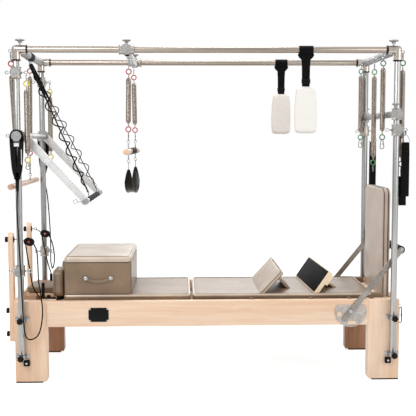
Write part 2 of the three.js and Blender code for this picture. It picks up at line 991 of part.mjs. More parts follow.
// The head end: a cross board between the legs with the two pulley risers bolted to it.
function headFrame() {
  const near = -legOuter - fit;
  const far = near - headBoardThickness;
  const board = box(far, near, -headBoardHalf, headBoardHalf, headBoardBottom, railTop);
  const pieces = [board];
  sideSigns.forEach(([, sideSign]) => {
    const y = sideSign * riserY;
    const outline = new THREE.Shape();
    outline.moveTo(y - riserHalf, headBoardBottom);
    outline.lineTo(y + riserHalf, headBoardBottom);
    outline.lineTo(y + riserHalf, riserTop - riserHalf);
    outline.absarc(y, riserTop - riserHalf, riserHalf, 0, Math.PI, false);
    outline.closePath();
    const outer = far - riserThickness;
    pieces.push(lengthways(outline, outer, far + sink));
    [
      [outer, -1],
      [far, 1],
    ].forEach(([x, way]) => {
      const start = at(x - way * sink, y, riserBoltHeight);
      const end = at(x + way * riserFlangeThickness, y, riserBoltHeight);
      pieces.push(rod(start, end, riserFlangeRadius, clampSides));
    });
    [riserBoltHeight, ...riserLowKnobHeights].forEach((height) => {
      const start = at(outer + sink, y, height);
      pieces.push(rod(start, at(outer - riserKnobLength, y, height), riserKnobRadius, clampSides));
    });
    pieces.push(screwEye(at(far, y, riserBoltHeight), at(far + riserEyeReach, y, riserBoltHeight), alongZ));
  });
  return fuse(pieces);
}

// The foot end: a cross board with a shelf that the jump board stands on.
function footRail() {
  const half = woodFace - legDepth - fit;
  const back = legOuter;
  const near = back - footBoardThickness;
  const board = box(near, back, -half, half, footBoardBottom, railTop);
  const shelf = box(
    near - footShelfReach,
    near + sink,
    -jumpHalf,
    jumpHalf,
    footShelfTop - footShelfThickness,
    footShelfTop,
  );
  return fuse(board, shelf);
}

// Canopy

// A lipped collar for an upright or a rail, before its bore is cut, and its round locking disc.
function clampBody(centre, axis, outward, tall = clampTall) {
  const radius = clampRadius;
  const lip = clampLipRadius;
  const half = tall / 2;
  const sleeve = turned(
    [
      [0, -half],
      [lip, -half],
      [radius, clampLip - half],
      [radius, half - clampLip],
      [lip, half],
      [0, half],
    ],
    centre,
    axis,
  );
  const discEnd = clampDiscStart + clampDiscThickness;
  const disc = turned(
    [
      [0, radius - 2 * sink],
      [clampStemRadius, radius - 2 * sink],
      [clampStemRadius, clampDiscStart],
      [clampDiscRadius, clampDiscStart],
      [clampDiscRadius, discEnd],
      [0, discEnd],
    ],
    centre,
    outward,
    discSides,
  );
  return fuse(sleeve, disc);
}

// The free bore of a clamp for the tube that it runs on.
function tubeBore(centre, axis, half) {
  return rod(from(centre, axis, -half - sink), from(centre, axis, half + sink), tubeRadius + fit);
}

// An eye bolt out of a clamp's side.
function clampEye(centre, way) {
  const direction = at(way, 0, 0);
  const eyeCentre = from(centre, direction, clampEyeReach);
  const inside = from(centre, direction, tubeRadius + 2 * sink);
  const stem = rod(inside, from(eyeCentre, direction, -eyeRing), eyeStemRadius, neckSides);
  return fuse(stem, ring(eyeCentre, alongZ, alongX));
}

function upright(endSign, sideSign) {
  const x = endSign * (uprightSpan / 2);
  const y = sideSign * (uprightGauge / 2);
  const tube = rod(at(x, y, uprightBottom), at(x, y, canopyHeight - elbowCore), tubeRadius);
  if (endSign > 0) return tube;
  const centre = at(x, y, lowClampHeight);
  const eyes = [-1, 1].map((way) => clampEye(centre, way));
  return fuse(tube, clampBody(centre, alongZ, at(0, sideSign, 0)), eyes);
}

function topRail(sideSign) {
  const y = sideSign * (uprightGauge / 2);
  const reach = uprightSpan / 2 - elbowCore;
  return rod(at(-reach, y, canopyHeight), at(reach, y, canopyHeight), tubeRadius);
}

// One corner fitting: a ball with an arm down and an arm along the rail, each with a collar and a socket.
function elbow(endSign, sideSign) {
  const centre = at(endSign * (uprightSpan / 2), sideSign * (uprightGauge / 2), canopyHeight);
  const ball = new THREE.SphereGeometry(elbowBallRadius, ballSides, ballBands);
  ball.rotateX(Math.PI / 2);
  ball.translate(centre.x, centre.y, centre.z);
  const pieces = [solid(ball)];
  const sockets = [];
  [downward, at(-endSign, 0, 0)].forEach((direction) => {
    const mouth = from(centre, direction, elbowReach);
    pieces.push(rod(centre, mouth, elbowRadius));
    pieces.push(
      rod(from(mouth, direction, -collarWidth), from(mouth, direction, sink), collarRadius, clampSides),
    );
    sockets.push(
      rod(from(centre, direction, elbowCore - fit), from(mouth, direction, 2 * sink), tubeRadius + fit),
    );
  });
  if (sideSign < 0) {
    pieces.push(
      turned(
        [
          [0, 0],
          [topKnobStemRadius, 0],
          [topKnobStemRadius, topKnobHeight],
          [topKnobRadius, topKnobHeight],
          [topKnobRadius, topKnobHeight + topKnobThickness / 2],
          [0, topKnobHeight + topKnobThickness],
        ],
        from(centre, at(-endSign, 0, 0), topKnobInset),
        alongZ,
      ),
    );
  }
  return cut(fuse(pieces), sockets);
}

// The cross bar at one end of the canopy with its sleeve, both corners and the eyes that springs hang on.
function canopyEnd(endSign) {
  const x = endSign * (uprightSpan / 2);
  const bar = rod(
    at(x, -uprightGauge / 2 + elbowRadius - sink, canopyHeight),
    at(x, uprightGauge / 2 - elbowRadius + sink, canopyHeight),
    tubeRadius,
  );
  const sleeve = rod(at(x, -sleeveHalf, canopyHeight), at(x, sleeveHalf, canopyHeight), sleeveRadius);
  const pieces = [bar, sleeve];
  sideSigns.forEach(([, sideSign]) => {
    const y = sideSign * sleeveHalf;
    const inner = y - sideSign * sleeveRingWidth;
    pieces.push(elbow(endSign, sideSign));
    pieces.push(rod(at(x, inner, canopyHeight), at(x, y, canopyHeight), sleeveRingRadius));
  });
  return [pieces, x];
}

const rollFrontTopEye = at(headCrossX, -uprightGauge / 2, canopyHeight - topEyeDrop);
const rollBackTopEye = at(headCrossX, rollTopEyeY, canopyHeight - topEyeDrop);

function canopyHeadEnd() {
  const [pieces, x] = canopyEnd(-1);
  const wrapRing = rod(
    at(x, wrapY - wrapWidth / 2, canopyHeight),
    at(x, wrapY + wrapWidth / 2, canopyHeight),
    wrapRadius,
  );
  pieces.push(wrapRing);
  pieces.push(rollEye(rollFrontTopEye, rollFrontLowEye, elbowRadius));
  pieces.push(rollEye(rollBackTopEye, rollBackLowEye, sleeveRadius));
  const cordEye = at(x, wrapY, canopyHeight - wrapRadius - eyeRing);
  pieces.push(ring(cordEye, alongZ, alongX));
  return fuse(pieces);
}

// An eye beside the bar, in the plane that its spring hangs in.
function rollEye(centre, target, radius) {
  const direction = target.clone().sub(centre).normalize();
  const bar = at(headX, centre.y, centre.z);
  const stem = rod(
    from(bar, alongX, -radius + 2 * sink),
    from(centre, alongX, eyeRing),
    eyeStemRadius,
    neckSides,
  );
  const across = alongX.clone().addScaledVector(direction, -alongX.dot(direction)).normalize();
  return fuse(stem, ring(centre, direction, across));
}

const footTopEyes = [
  [outerSpringY, 1, footOuterX],
  [shortFrontSpringY, -1, footInnerX],
  [farSpringY, -1, footInnerX - farEyeReach],
  [shortBackSpringY, -1, footInnerX],
];

function footEyePlace([y, , x]) {
  return at(x, y, canopyHeight - topEyeDrop);
}

function canopyFootEnd() {
  const [pieces, x] = canopyEnd(1);
  footTopEyes.forEach((eye) => {
    const centre = footEyePlace(eye);
    const surface = at(x + eye[1] * (tubeRadius - 2 * sink), centre.y, centre.z);
    pieces.push(screwEye(surface, centre, alongZ));
  });
  return fuse(pieces);
}

// Clamps

function sideClamp(endSign, sideSign, height, eyeWays) {
  const centre = at(endSign * (uprightSpan / 2), sideSign * (uprightGauge / 2), height);
  const eyes = eyeWays.map((way) => clampEye(centre, way));
  const body = fuse(clampBody(centre, alongZ, at(0, sideSign, 0)), eyes);
  return cut(body, tubeBore(centre, alongZ, clampTall / 2));
}

// Two clamps on the head uprights with the bar that the push-through bar turns on.
function pushBarMount() {
  const bar = rod(
    at(pushPivotX, -uprightGauge / 2, pushClampHeight),
    at(pushPivotX, uprightGauge / 2, pushClampHeight),
    pushMountRadius,
  );
  const clamps = sideSigns.map(([, sideSign]) => sideClamp(-1, sideSign, pushClampHeight, [-1]));
  const bores = sideSigns.map(([, sideSign]) => {
    const centre = at(headX, sideSign * (uprightGauge / 2), pushClampHeight);
    return tubeBore(centre, alongZ, clampTall / 2);
  });
  return cut(fuse(bar, clamps), bores);
}

// Two clamps on the foot uprights joined by a cross bar, each with a small handled screw.
function crossClamp() {
  const reach = uprightGauge / 2;
  const bar = rod(at(footX, -reach, crossClampHeight), at(footX, reach, crossClampHeight), crossBarRadius);
  const pieces = [bar];
  const bores = [];
  sideSigns.forEach(([, sideSign]) => {
    const centre = at(footX, sideSign * reach, crossClampHeight);
    pieces.push(clampBody(centre, alongZ, at(0, sideSign, 0)));
    bores.push(tubeBore(centre, alongZ, clampTall / 2));
    const ringEnd = sideSign * (reach - clampRadius + 2 * sink);
    const ringStart = ringEnd - sideSign * sleeveRingWidth;
    pieces.push(
      rod(at(footX, ringStart, crossClampHeight), at(footX, ringEnd, crossClampHeight), crossRingRadius),
    );
    const screwX = footX + sideSign * screwHandleShift;
    const base = crossClampHeight + clampTall / 2;
    const top = base + screwHandleRise;
    const y = centre.y + sideSign * screwHandleOut;
    pieces.push(rod(at(screwX, y, base - clampLip), at(screwX, y, top), screwHandleRadius, rodSides));
    pieces.push(
      rod(
        at(screwX - screwHandleHalf, y, top),
        at(screwX + screwHandleHalf, y, top),
        screwHandleRadius,
        rodSides,
      ),
    );
  });
  return cut(fuse(pieces), bores);
}

// Springs

// A spring's neck and tapered end, from its ring towards its coil.
function springEnd(start, direction, neck) {
  const end = neck + springEndCone;
  return turned(
    [
      [0, -sink],
      [springNeckRadius, -sink],
      [springNeckRadius, neck],
      [springRadius, end - springEndPlate],
      [springRadius, end],
      [0, end],
    ],
    start,
    direction,
    rodSides,
  );
}

// A spring between two hooking points: long hook, coloured ring, tapered ends, coil, ring and lower hook.
function spring(top, bottom, sizes) {
  const { hook, neck, body, tail } = sizes;
  const direction = bottom.clone().sub(top).normalize();
  const across = alongY.clone().addScaledVector(direction, -alongY.dot(direction)).normalize();
  const flat = direction.clone().cross(across).normalize();
  const upperRing = from(top, direction, hook + springRing);
  const neckTop = from(upperRing, direction, springRing);
  const bodyTop = from(neckTop, direction, neck);
  const bodyEnd = from(bodyTop, direction, body);
  const neckEnd = from(bodyEnd, direction, springNeck);
  const lowerRing = from(neckEnd, direction, springRing);
  const tailTop = from(lowerRing, direction, springRing);
  const tailEnd = tail ? from(tailTop, direction, tail) : bottom;
  const back = direction.clone().negate();
  const coilStart = from(bodyTop, direction, springEndCone - sink);
  const coilEnd = from(bodyEnd, direction, sink - springEndCone);
  const curls = Math.max(1, Math.round(body / springPitch));
  return fuse(
    link(
      from(top, direction, hookHalf),
      from(top, direction, hook - hookHalf),
      direction,
      across,
      hookHalf,
      hookWire,
    ),
    ring(upperRing, direction, flat, springRing, springRingWire),
    springEnd(neckTop, direction, neck),
    coil(coilStart, coilEnd, springRadius - springWire, springWire, curls),
    springEnd(neckEnd, back, springNeck),
    ring(lowerRing, direction, flat, springRing, springRingWire),
    link(
      from(tailTop, direction, hookHalf),
      from(tailEnd, direction, -hookHalf),
      direction,
      across,
      hookHalf,
      hookWire,
    ),
  );
}

// A spring that hangs straight down from an eye, with a clip and sometimes a strap at its lower end.
function hangingSpring(eye, sizes, strap = 0) {
  const top = from(eye, downward, hookDrop);
  const length = sizes.hook + 4 * springRing + sizes.neck + sizes.body + springNeck + sizes.tail;
  const bottom = from(top, downward, length);
  const body = spring(top, bottom, sizes);
  if (!strap) return body;
  const loop = bandLoop(
    bottom.x - tailStrapWidth / 2,
    bottom.x + tailStrapWidth / 2,
    bottom.y,
    bottom.z + hookWire,
    bottom.z - strap,
    tailStrapDepth,
    tailStrapThickness,
  );
  return fuse(body, loop);
}

// The pivots that a spring hooks on, between an upper and a lower eye.
function hookedSpring(upperEye, lowerEye, sizes) {
  const direction = lowerEye.clone().sub(upperEye).normalize();
  return spring(from(upperEye, direction, hookDrop), from(lowerEye, direction, -hookDrop), sizes);
}

// Roll-down bar

const rollFrontLowEye = at(rollBarX, -rollEyeY, rollBarZ + rollEyeRise);
const rollBackLowEye = at(rollBarX, rollEyeY, rollBarZ + rollEyeRise);

function rollDownBar() {
  const bar = rod(at(rollBarX, -rollBarHalf, rollBarZ), at(rollBarX, rollBarHalf, rollBarZ), rollBarRadius);
  const eyes = [
    [rollFrontLowEye, rollFrontTopEye],
    [rollBackLowEye, rollBackTopEye],
  ].map(([low, high]) => {
    const direction = low.clone().sub(high).normalize();
    const across = alongX.clone().addScaledVector(direction, -alongX.dot(direction)).normalize();
    const stemTop = from(low, direction, eyeRing);
    const stem = rod(
      at(low.x, stemTop.y, rollBarZ + rollBarRadius - 2 * sink),
      stemTop,
      eyeStemRadius,
      neckSides,
    );
    return fuse(stem, ring(low, direction, across));
  });
  return fuse(bar, eyes);
}

// Push-through bar

function pushThroughBar() {
  const pivot = at(pushPivotX, 0, pushClampHeight);
  const grip = at(pushBarX, 0, pushBarZ);
  const direction = grip.clone().sub(pivot).normalize();
  const across = direction.clone().cross(alongY).normalize();
  const reach = pivot.distanceTo(grip);
  const pieces = [
    rod(at(grip.x, -pushBarHalf, grip.z), at(grip.x, pushBarHalf, grip.z), pushBarRadius),
    rod(at(grip.x, -pushGripHalf, grip.z), at(grip.x, pushGripHalf, grip.z), pushGripRadius),
  ];
  const bores = [];
  sideSigns.forEach(([, sideSign]) => {
    const near = sideSign * (pushArmY - pushArmThickness / 2);
    const far = sideSign * (pushArmY + pushArmThickness / 2);
    const corners = [
      [pushHubRadius, 1],
      [reach, 1],
      [reach, -1],
      [pushHubRadius, -1],
    ].map(([distance, way]) => {
      const end = from(pivot, direction, distance === reach ? distance : 0);
      return from(end, across, way * pushArmHalfWidth);
    });
    const outline = new THREE.Shape(corners.map((corner) => new THREE.Vector2(corner.x, corner.z)));
    pieces.push(sideways(outline, near, far));
    pieces.push(rod(at(pivot.x, near, pivot.z), at(pivot.x, far, pivot.z), pushHubRadius));
    pieces.push(rod(at(grip.x, near, grip.z), at(grip.x, far, grip.z), pushArmHalfWidth));
    const tip = sideSign * pushBarHalf;
    pieces.push(
      rod(at(grip.x, tip - sideSign * pushEndThickness, grip.z), at(grip.x, tip, grip.z), pushEndRadius),
    );
    const eye = at(grip.x, sideSign * pushEyeY, grip.z + pushEyeRise);
    pieces.push(screwEye(at(grip.x, eye.y, grip.z + pushBarRadius), eye, alongX));
    const start = at(pivot.x, near - sideSign * sink, pivot.z);
    const end = at(pivot.x, far + sideSign * sink, pivot.z);
    bores.push(rod(start, end, pushMountRadius + turnFit, turnSides));
  });
  return cut(fuse(pieces), bores);
}

// A safety line from the canopy to the bar with a curly cord wound round it.
function pushBarCord(sideSign) {
  const top = at(
    headX,
    wrapY + sideSign * pushCordSpread,
    canopyHeight - wrapRadius - 2 * eyeRing - pushCordTopDrop,
  );
  const eye = at(pushBarX, sideSign * pushEyeY, pushBarZ + pushEyeRise);
  const direction = eye.clone().sub(top).normalize();
  const bottom = from(eye, direction, -pushCordEndReach);
  const bandEnd = top.clone().lerp(bottom, pushBandShare);
  const curlStart = bandEnd.clone();
  const curlEnd = top.clone().lerp(bottom, pushCurlEndShare);
  const plate = (centre, way) =>
    rod(centre, from(centre, direction, way * 2 * sink), pushCurlRadius, rodSides);
  return fuse(
    rod(top, from(bandEnd, direction, sink), pushBandRadius, rodSides),
    rod(from(bandEnd, direction, -sink), bottom, pushCordRadius, rodSides),
    plate(curlStart, -1),
    plate(curlEnd, 1),
    coil(
      from(curlStart, direction, -sink),
      from(curlEnd, direction, sink),
      pushCurlRadius - pushCurlWire,
      pushCurlWire,
      pushCurls,
    ),
  );
}

// Foot straps

function footStrap(sideSign) {
  const x = footX + clampEyeReach;
  const y = sideSign * (uprightGauge / 2);
  const hookTop = at(x, y, strapClampHeight - hookDrop);
  const hookEnd = from(hookTop, downward, footStrapHook);
  const hook = link(
    from(hookTop, downward, hookHalf),
    from(hookEnd, downward, -hookHalf),
    downward,
    alongY,
    hookHalf,
    hookWire,
  );
  const top = hookEnd.z;
  const low = top - dRingTall;
  const dRing = wireLoop(
    [
      at(x - dRingTopHalf, y, top - dRingTopHalf / 2),
      at(x, y, top),
      at(x + dRingTopHalf, y, top - dRingTopHalf / 2),
      at(x + dRingHalf, y, low + dRingTopHalf),
      at(x + dRingHalf - dRingTopHalf, y, low),
      at(x - dRingHalf + dRingTopHalf, y, low),
      at(x - dRingHalf, y, low + dRingTopHalf),
    ],
    alongY.clone().negate(),
    hookWire,
  );
  const half = footStrapWidth / 2;
  const loop = bandLoop(
    x - half,
    x + half,
    y,
    low + hookWire,
    footStrapBottom,
    footStrapDepth,
    footStrapThickness,
  );
  const tail = box(
    x - half - footTailShift,
    x + half - footTailShift,
    y - footStrapThickness / 2,
    y + footStrapThickness / 2,
    footStrapBottom - footTailTall,
    footStrapBottom + footStrapThickness - sink,
  );
  return fuse(hook, dRing, loop, tail);
}

// Trapeze

const trapezeTubeZ = canopyHeight - trapezeTubeDrop;

function trapezeTopEye(sideSign) {
  return at(trapezeX, sideSign * trapezeEyeY, trapezeTubeZ - trapezeTubeRadius - eyeRing);
}

function trapezeLowEye(sideSign) {
  return at(trapezeX + sideSign * trapezeEyeX, sideSign * trapezeEyeY, trapezeBarZ + trapezeEyeRise);
}

function trapezeSlider() {
  const reach = uprightGauge / 2;
  const pieces = [
    rod(at(trapezeX, -reach, trapezeTubeZ), at(trapezeX, reach, trapezeTubeZ), trapezeTubeRadius),
  ];
  const bores = [];
  sideSigns.forEach(([, sideSign]) => {
    const centre = at(trapezeX, sideSign * reach, canopyHeight);
    const outward = at(0, sideSign, 0);
    pieces.push(
      clampBody(centre, alongX, outward, 2 * trapezeSleeveHalf),
    );
    const top = clampRadius + screwHandleRise - clampLip;
    pieces.push(
      rod(
        from(centre, alongZ, tubeRadius + 2 * sink),
        from(centre, alongZ, top),
        screwHandleRadius,
        rodSides,
      ),
    );
    const handle = from(centre, alongZ, top);
    pieces.push(
      rod(
        from(handle, alongX, -screwHandleHalf),
        from(handle, alongX, screwHandleHalf),
        screwHandleRadius,
        rodSides,
      ),
    );
    const ringEnd = sideSign * (reach - clampRadius + 2 * sink);
    const ringStart = ringEnd - sideSign * sleeveRingWidth;
    pieces.push(
      rod(at(trapezeX, ringStart, trapezeTubeZ), at(trapezeX, ringEnd, trapezeTubeZ), sleeveRadius),
    );
    pieces.push(ring(trapezeTopEye(sideSign), alongZ, alongX));
    bores.push(tubeBore(centre, alongX, trapezeSleeveHalf));
  });
  return cut(fuse(pieces), bores);
}

// The swinging bar with its upper and lower eyes, clips and the black sling under it.
function trapezeBar() {
  const front = trapezeLowEye(-1);
  const back = trapezeLowEye(1);
  const along = back.clone().sub(front).normalize();
  const across = along.clone().cross(alongZ).normalize();
  const middle = at(trapezeX, 0, trapezeBarZ);
  const pieces = [
    rod(from(middle, along, -trapezeBarHalf), from(middle, along, trapezeBarHalf), trapezeBarRadius),
    rod(from(middle, along, -trapezeBandHalf), from(middle, along, trapezeBandHalf), trapezeBandRadius),
  ];
  const clipEnds = [front, back].map((eye) => {
    const barPoint = at(eye.x, eye.y, trapezeBarZ);
    pieces.push(rod(barPoint, from(eye, alongZ, -eyeRing), eyeStemRadius, neckSides));
    pieces.push(ring(eye, alongZ, alongX));
    const lowEye = from(barPoint, alongZ, -trapezeEyeDrop);
    pieces.push(rod(barPoint, from(lowEye, alongZ, eyeRing), eyeStemRadius, neckSides));
    pieces.push(ring(lowEye, alongZ, alongX));
    const clipTop = from(lowEye, downward, eyeRing);
    const clipEnd = from(clipTop, downward, slingClipLength);
    pieces.push(
      link(
        from(clipTop, downward, hookHalf),
        from(clipEnd, downward, -hookHalf),
        downward,
        alongY,
        hookHalf,
        hookWire,
      ),
    );
    return clipEnd;
  });
  pieces.push(sling(clipEnds[0], clipEnds[1], across));
  return fuse(pieces);
}

// A wide band that sags between two points, narrow at its ends and drawn aside where it widens.
function sling(start, end, across) {
  const last = slingWidthShares.length - 1;
  const rings = slingWidthShares.map((widthShare, i) => {
    const way = i / last;
    const centre = start.clone().lerp(end, way);
    centre.z -= slingSag * Math.sin(Math.PI * way) ** 0.5;
    centre.x -= slingDrift * Math.sin(2 * Math.PI * way);
    const ahead = at(0, 1, -Math.cos(Math.PI * way)).normalize();
    const over = ahead.clone().cross(across).normalize();
    const halfWide = slingHalfWidth * widthShare;
    const halfThick = slingThickness / 2;
    return [
      [-1, -1],
      [1, -1],
      [1, 1],
      [-1, 1],
    ].map(([wideSign, thickSign]) =>
      from(from(centre, across, wideSign * halfWide), over, thickSign * halfThick),
    );
  });
  return loft(rings);
}

// Fleece loops

function fleeceLoop(x, sideSign) {
  const y = sideSign * (uprightGauge / 2);
  const inner = tubeRadius + turnFit;
  const outer = inner + fleeceWrapThickness;
  const wrap = turned(
    [
      [inner, -fleeceWrapHalf],
      [outer, -fleeceWrapHalf],
      [outer, fleeceWrapHalf],
      [inner, fleeceWrapHalf],
      [inner, -fleeceWrapHalf],
    ],
    at(x, y, canopyHeight),
    alongX,
    turnSides,
  );
  const strap = box(
    x - fleeceStrapHalf,
    x + fleeceStrapHalf,
    y - fleeceStrapThickness / 2,
    y + fleeceStrapThickness / 2,
    fleeceTop - fleeceThickness + sink,
    canopyHeight - outer + sink,
  );
  const loop = bandLoop(
    x - fleeceHalf,
    x + fleeceHalf,
    y,
    fleeceTop,
    fleeceBottom,
    fleeceDepth,
    fleeceThickness,
  );
  return fuse(wrap, strap, loop);
}

// Pulleys and ropes

function pulley(sideSign, z) {
  const y = sideSign * riserY;
  const centre = at(pulleyX, y, z);
  const straight = pulleyHalfLength - pulleyHalfHeight;
  const lean = at(Math.cos(pulleyTilt), 0, -Math.sin(pulleyTilt));
  const outlinePoints = [];
  const steps = curveSegments + wireStepsPerHalf;
  [1, -1].forEach((way) => {
    for (let i = 0; i <= steps; i += 1) {
      const turn = (way * Math.PI) / 2 - (Math.PI * i) / steps;
      const local = [way * straight + pulleyHalfHeight * Math.cos(turn), pulleyHalfHeight * Math.sin(turn)];
      outlinePoints.push(
        new THREE.Vector2(
          centre.x + local[0] * lean.x - local[1] * lean.z,
          centre.z + local[0] * lean.z + local[1] * lean.x,
        ),
      );
    }
  });
  const outline = new THREE.Shape(outlinePoints);
  const cheeks = [-1, 1].map((way) =>
    sideways(outline, y + way * pulleyInnerHalf, y + way * (pulleyInnerHalf + pulleyCheek)),
  );
  const wheelHalf = pulleyInnerHalf - fit;
  const outerHalf = pulleyInnerHalf + pulleyCheek + pulleyHubThickness;
  const wheel = turned(
    [
      [0, -outerHalf],
      [pulleyAxle, -outerHalf],
      [pulleyAxle, -wheelHalf],
      [pulleyFlange, -wheelHalf],
      [pulleyGroove, 0],
      [pulleyFlange, wheelHalf],
      [pulleyAxle, wheelHalf],
      [pulleyAxle, outerHalf],
      [0, outerHalf],
    ],
    centre,
    alongY,
  );
  const eye = at(-legOuter - fit - headBoardThickness + riserEyeReach, y, riserBoltHeight);
  const edge = from(centre, lean, -(pulleyHalfLength - pulleyBridge));
  const towards = edge.clone().sub(eye).normalize();
  const bridge = box(
    edge.x - pulleyBridge,
    edge.x,
    y - pulleyInnerHalf - sink,
    y + pulleyInnerHalf + sink,
    edge.z - pulleyBridgeHalf,
    edge.z + pulleyBridgeHalf,
  );
  const hookStart = from(eye, towards, hookDrop + hookHalf - fit);
  const shackle = link(hookStart, from(edge, towards, -hookHalf), towards, alongY, hookHalf, hookWire);
  return fuse(cheeks, wheel, bridge, shackle);
}

// A route whose steps follow its own points, so that a tight bend gets as many steps as a long run.
class Route extends THREE.CatmullRomCurve3 {
  getPointAt(share, target) {
    return this.getPoint(share, target);
  }

  getTangentAt(share, target) {
    return this.getTangent(share, target);
  }
}

function rope(points) {
  const route = new Route(points, false, "centripetal");
  const outline = new THREE.Shape(
    section(at(0, 0, 0), alongX, alongY, ropeRadius, ropeSides).map((p) => new THREE.Vector2(p.x, p.y)),
  );
  const shape = new THREE.ExtrudeGeometry(outline, {
    steps: ropeStepsPerRun * (points.length - 1),
    extrudePath: route,
    bevelEnabled: false,
  });
  return solid(shape);
}

// A hand loop that hangs on the stem of a locking disc.
function handLoop(x, sideSign) {
  const y = sideSign * handLoopY;
  const middle = (handLoopTop + handLoopBottom) / 2;
  return wireLoop(
    [
      at(x - handLoopHalf / 2, y, handLoopTop - handLoopHalf / 4),
      at(x, y, handLoopTop),
      at(x + handLoopHalf / 2, y, handLoopTop - handLoopHalf / 4),
      at(x + handLoopHalf, y, middle),
      at(x + handLoopHalf / 2, y, handLoopBottom + handLoopHalf),
      at(x, y, handLoopBottom),
      at(x - handLoopHalf / 2, y, handLoopBottom + handLoopHalf),
      at(x - handLoopHalf, y, middle),
    ],
    alongY.clone().negate(),
    handLoopWire,
    wireSides + 2,
  );
}

// Points of a rope's route: along the table, outwards and up from the middle of its pulley.
function ropeRoute(steps, sideSign, pulleyZ) {
  const points = steps.map(([along, out, rise]) =>
    at(pulleyX + along, sideSign * (riserY + out), pulleyZ + rise),
  );
  points.push(at(headX, sideSign * handLoopY, handLoopBottom));
  return points;
}

const ropeFrontSteps = [
  [64.7, 0, -365],
  [54, 0, -341],
  [20, 0, -281],
  [4, 0, -187],
  [-20, 0, -23],
  [-20, 0, 0],
  [-15, 0, 15],
  [0, 0, 21],
  [15, 0, 15],
  [21, 0, 0],
  [44, 0, -51],
  [51, 0, -144],
  [62, 45, -238],
  [86, 115, -308],
  [96, 130, -433],
  [66, 130, -553],
  [26, 140, -575],
  [4, 175, -549],
  [-4, 200, -457],
  [-12, 202, -213],
  [-24, 196, 42],
  [-32, 186, 227],
];

const ropeBackSteps = [
  [36, 0, -273.1],
  [18, 0, -215],
  [-20, 0, -23],
  [-20, 0, 0],
  [-15, 0, 15],
  [0, 0, 21],
  [15, 0, 15],
  [21, 0, 0],
  [49, 0, -72],
  [60, 2, -175],
  [42, 35, -245],
  [20, 100, -215],
  [9, 170, -115],
  [2, 202, 5],
  [-14, 184, 275],
];

// Carriage

function carriageDeck() {
  const bottom = deckTop - deckThickness;
  const deck = box(deckLeft, deckRight, -deckHalf, deckHalf, bottom, deckTop);
  const tongue = box(
    headTongueLeft,
    deckLeft + 2 * headBlockWidth,
    -headTongueHalf,
    headTongueHalf,
    headTongueTop - headTongueThickness,
    headTongueTop,
  );
  const rest = box(
    deckLeft - sink,
    deckLeft + 2 * headBlockWidth,
    -headTongueHalf,
    headTongueHalf,
    bottom,
    headTongueTop,
  );
  const blocks = [headTongueLeft + headBlockWidth, deckLeft - headBlockWidth].map((x) =>
    box(
      x - headBlockWidth / 2,
      x + headBlockWidth / 2,
      -headTongueHalf / 2,
      headTongueHalf / 2,
      headTongueTop - sink,
      headTongueTop + headBlockTall,
    ),
  );
  const trackTop = railTop - trackDrop;
  const wheelRadius = (bottom - trackTop - fit + 2 * sink) / 2;
  const wheels = [deckLeft + wheelInset, deckRight - wheelInset].flatMap((x) =>
    sideSigns.map(([, sideSign]) => {
      const outer = sideSign * (deckHalf - sink);
      const centreZ = trackTop + fit + wheelRadius;
      return rod(
        at(x, outer - sideSign * wheelWidth, centreZ),
        at(x, outer, centreZ),
        wheelRadius,
        clampSides,
      );
    }),
  );
  const posts = [
    [ropePostFrontX, -1, ropePostFrontTop],
    [ropePostBackX, 1, ropePostBackTop],
  ].flatMap(([x, sideSign, top]) => {
    const y = sideSign * riserY;
    return [
      box(
        x - ropeBlockReach,
        deckLeft + wheelInset / 2,
        y - ropeBlockHalf,
        y + ropeBlockHalf,
        bottom,
        ropeBlockTop,
      ),
      rod(at(x, y, ropeBlockTop - sink), at(x, y, top), ropePostRadius, rodSides),
    ];
  });
  return fuse(deck, tongue, rest, blocks, wheels, posts);
}

function shoulderRest(sideSign) {
  const y0 = sideSign < 0 ? -restOuterY : restInnerY;
  const y1 = sideSign < 0 ? -restInnerY : restOuterY;
  const foot = box(
    restLeft + restFootInset,
    restLeft + restThickness - restFootInset,
    y0 + restFootInset,
    y1 - restFootInset,
    deckTop + fit,
    deckTop + restFootTall + sink,
  );
  const low = deckTop + restFootTall;
  const standing = new THREE.Matrix4().makeBasis(alongY, alongZ, alongX);
  standing.setPosition(restLeft, (y0 + y1) / 2, (low + restTop) / 2);
  const pad = placed(
    cushionRings(y1 - y0, restTop - low, restThickness, restRound, restEdge, padCrown),
    standing,
  );
  return fuse(foot, pad);
}

function sittingBox() {
  const base = matTop + fit;
  const tall = boxTop - base - padCrown;
  const seamShare = 1 - boxLid / tall;
  const grooveShare = boxGroove / tall;
  const shares = [
    [0, 1],
    [grooveShare, 0],
    [seamShare - grooveShare, 0],
    [seamShare, 1],
    [seamShare + grooveShare, 0],
    [1 - grooveShare, seamInsetShare],
  ];
  const body = cushion(
    boxLeft,
    boxRight,
    -boxHalf,
    boxHalf,
    base,
    boxTop,
    boxCorner,
    boxEdge,
    padCrown,
    shares,
  );
  const studs = [handleLeft, handleRight].map((x) =>
    rod(
      at(x, -boxHalf + boxEdge, handleZ),
      at(x, -boxHalf - handleStudTall, handleZ),
      handleStudRadius,
      rodSides,
    ),
  );
  return fuse(body, studs);
}

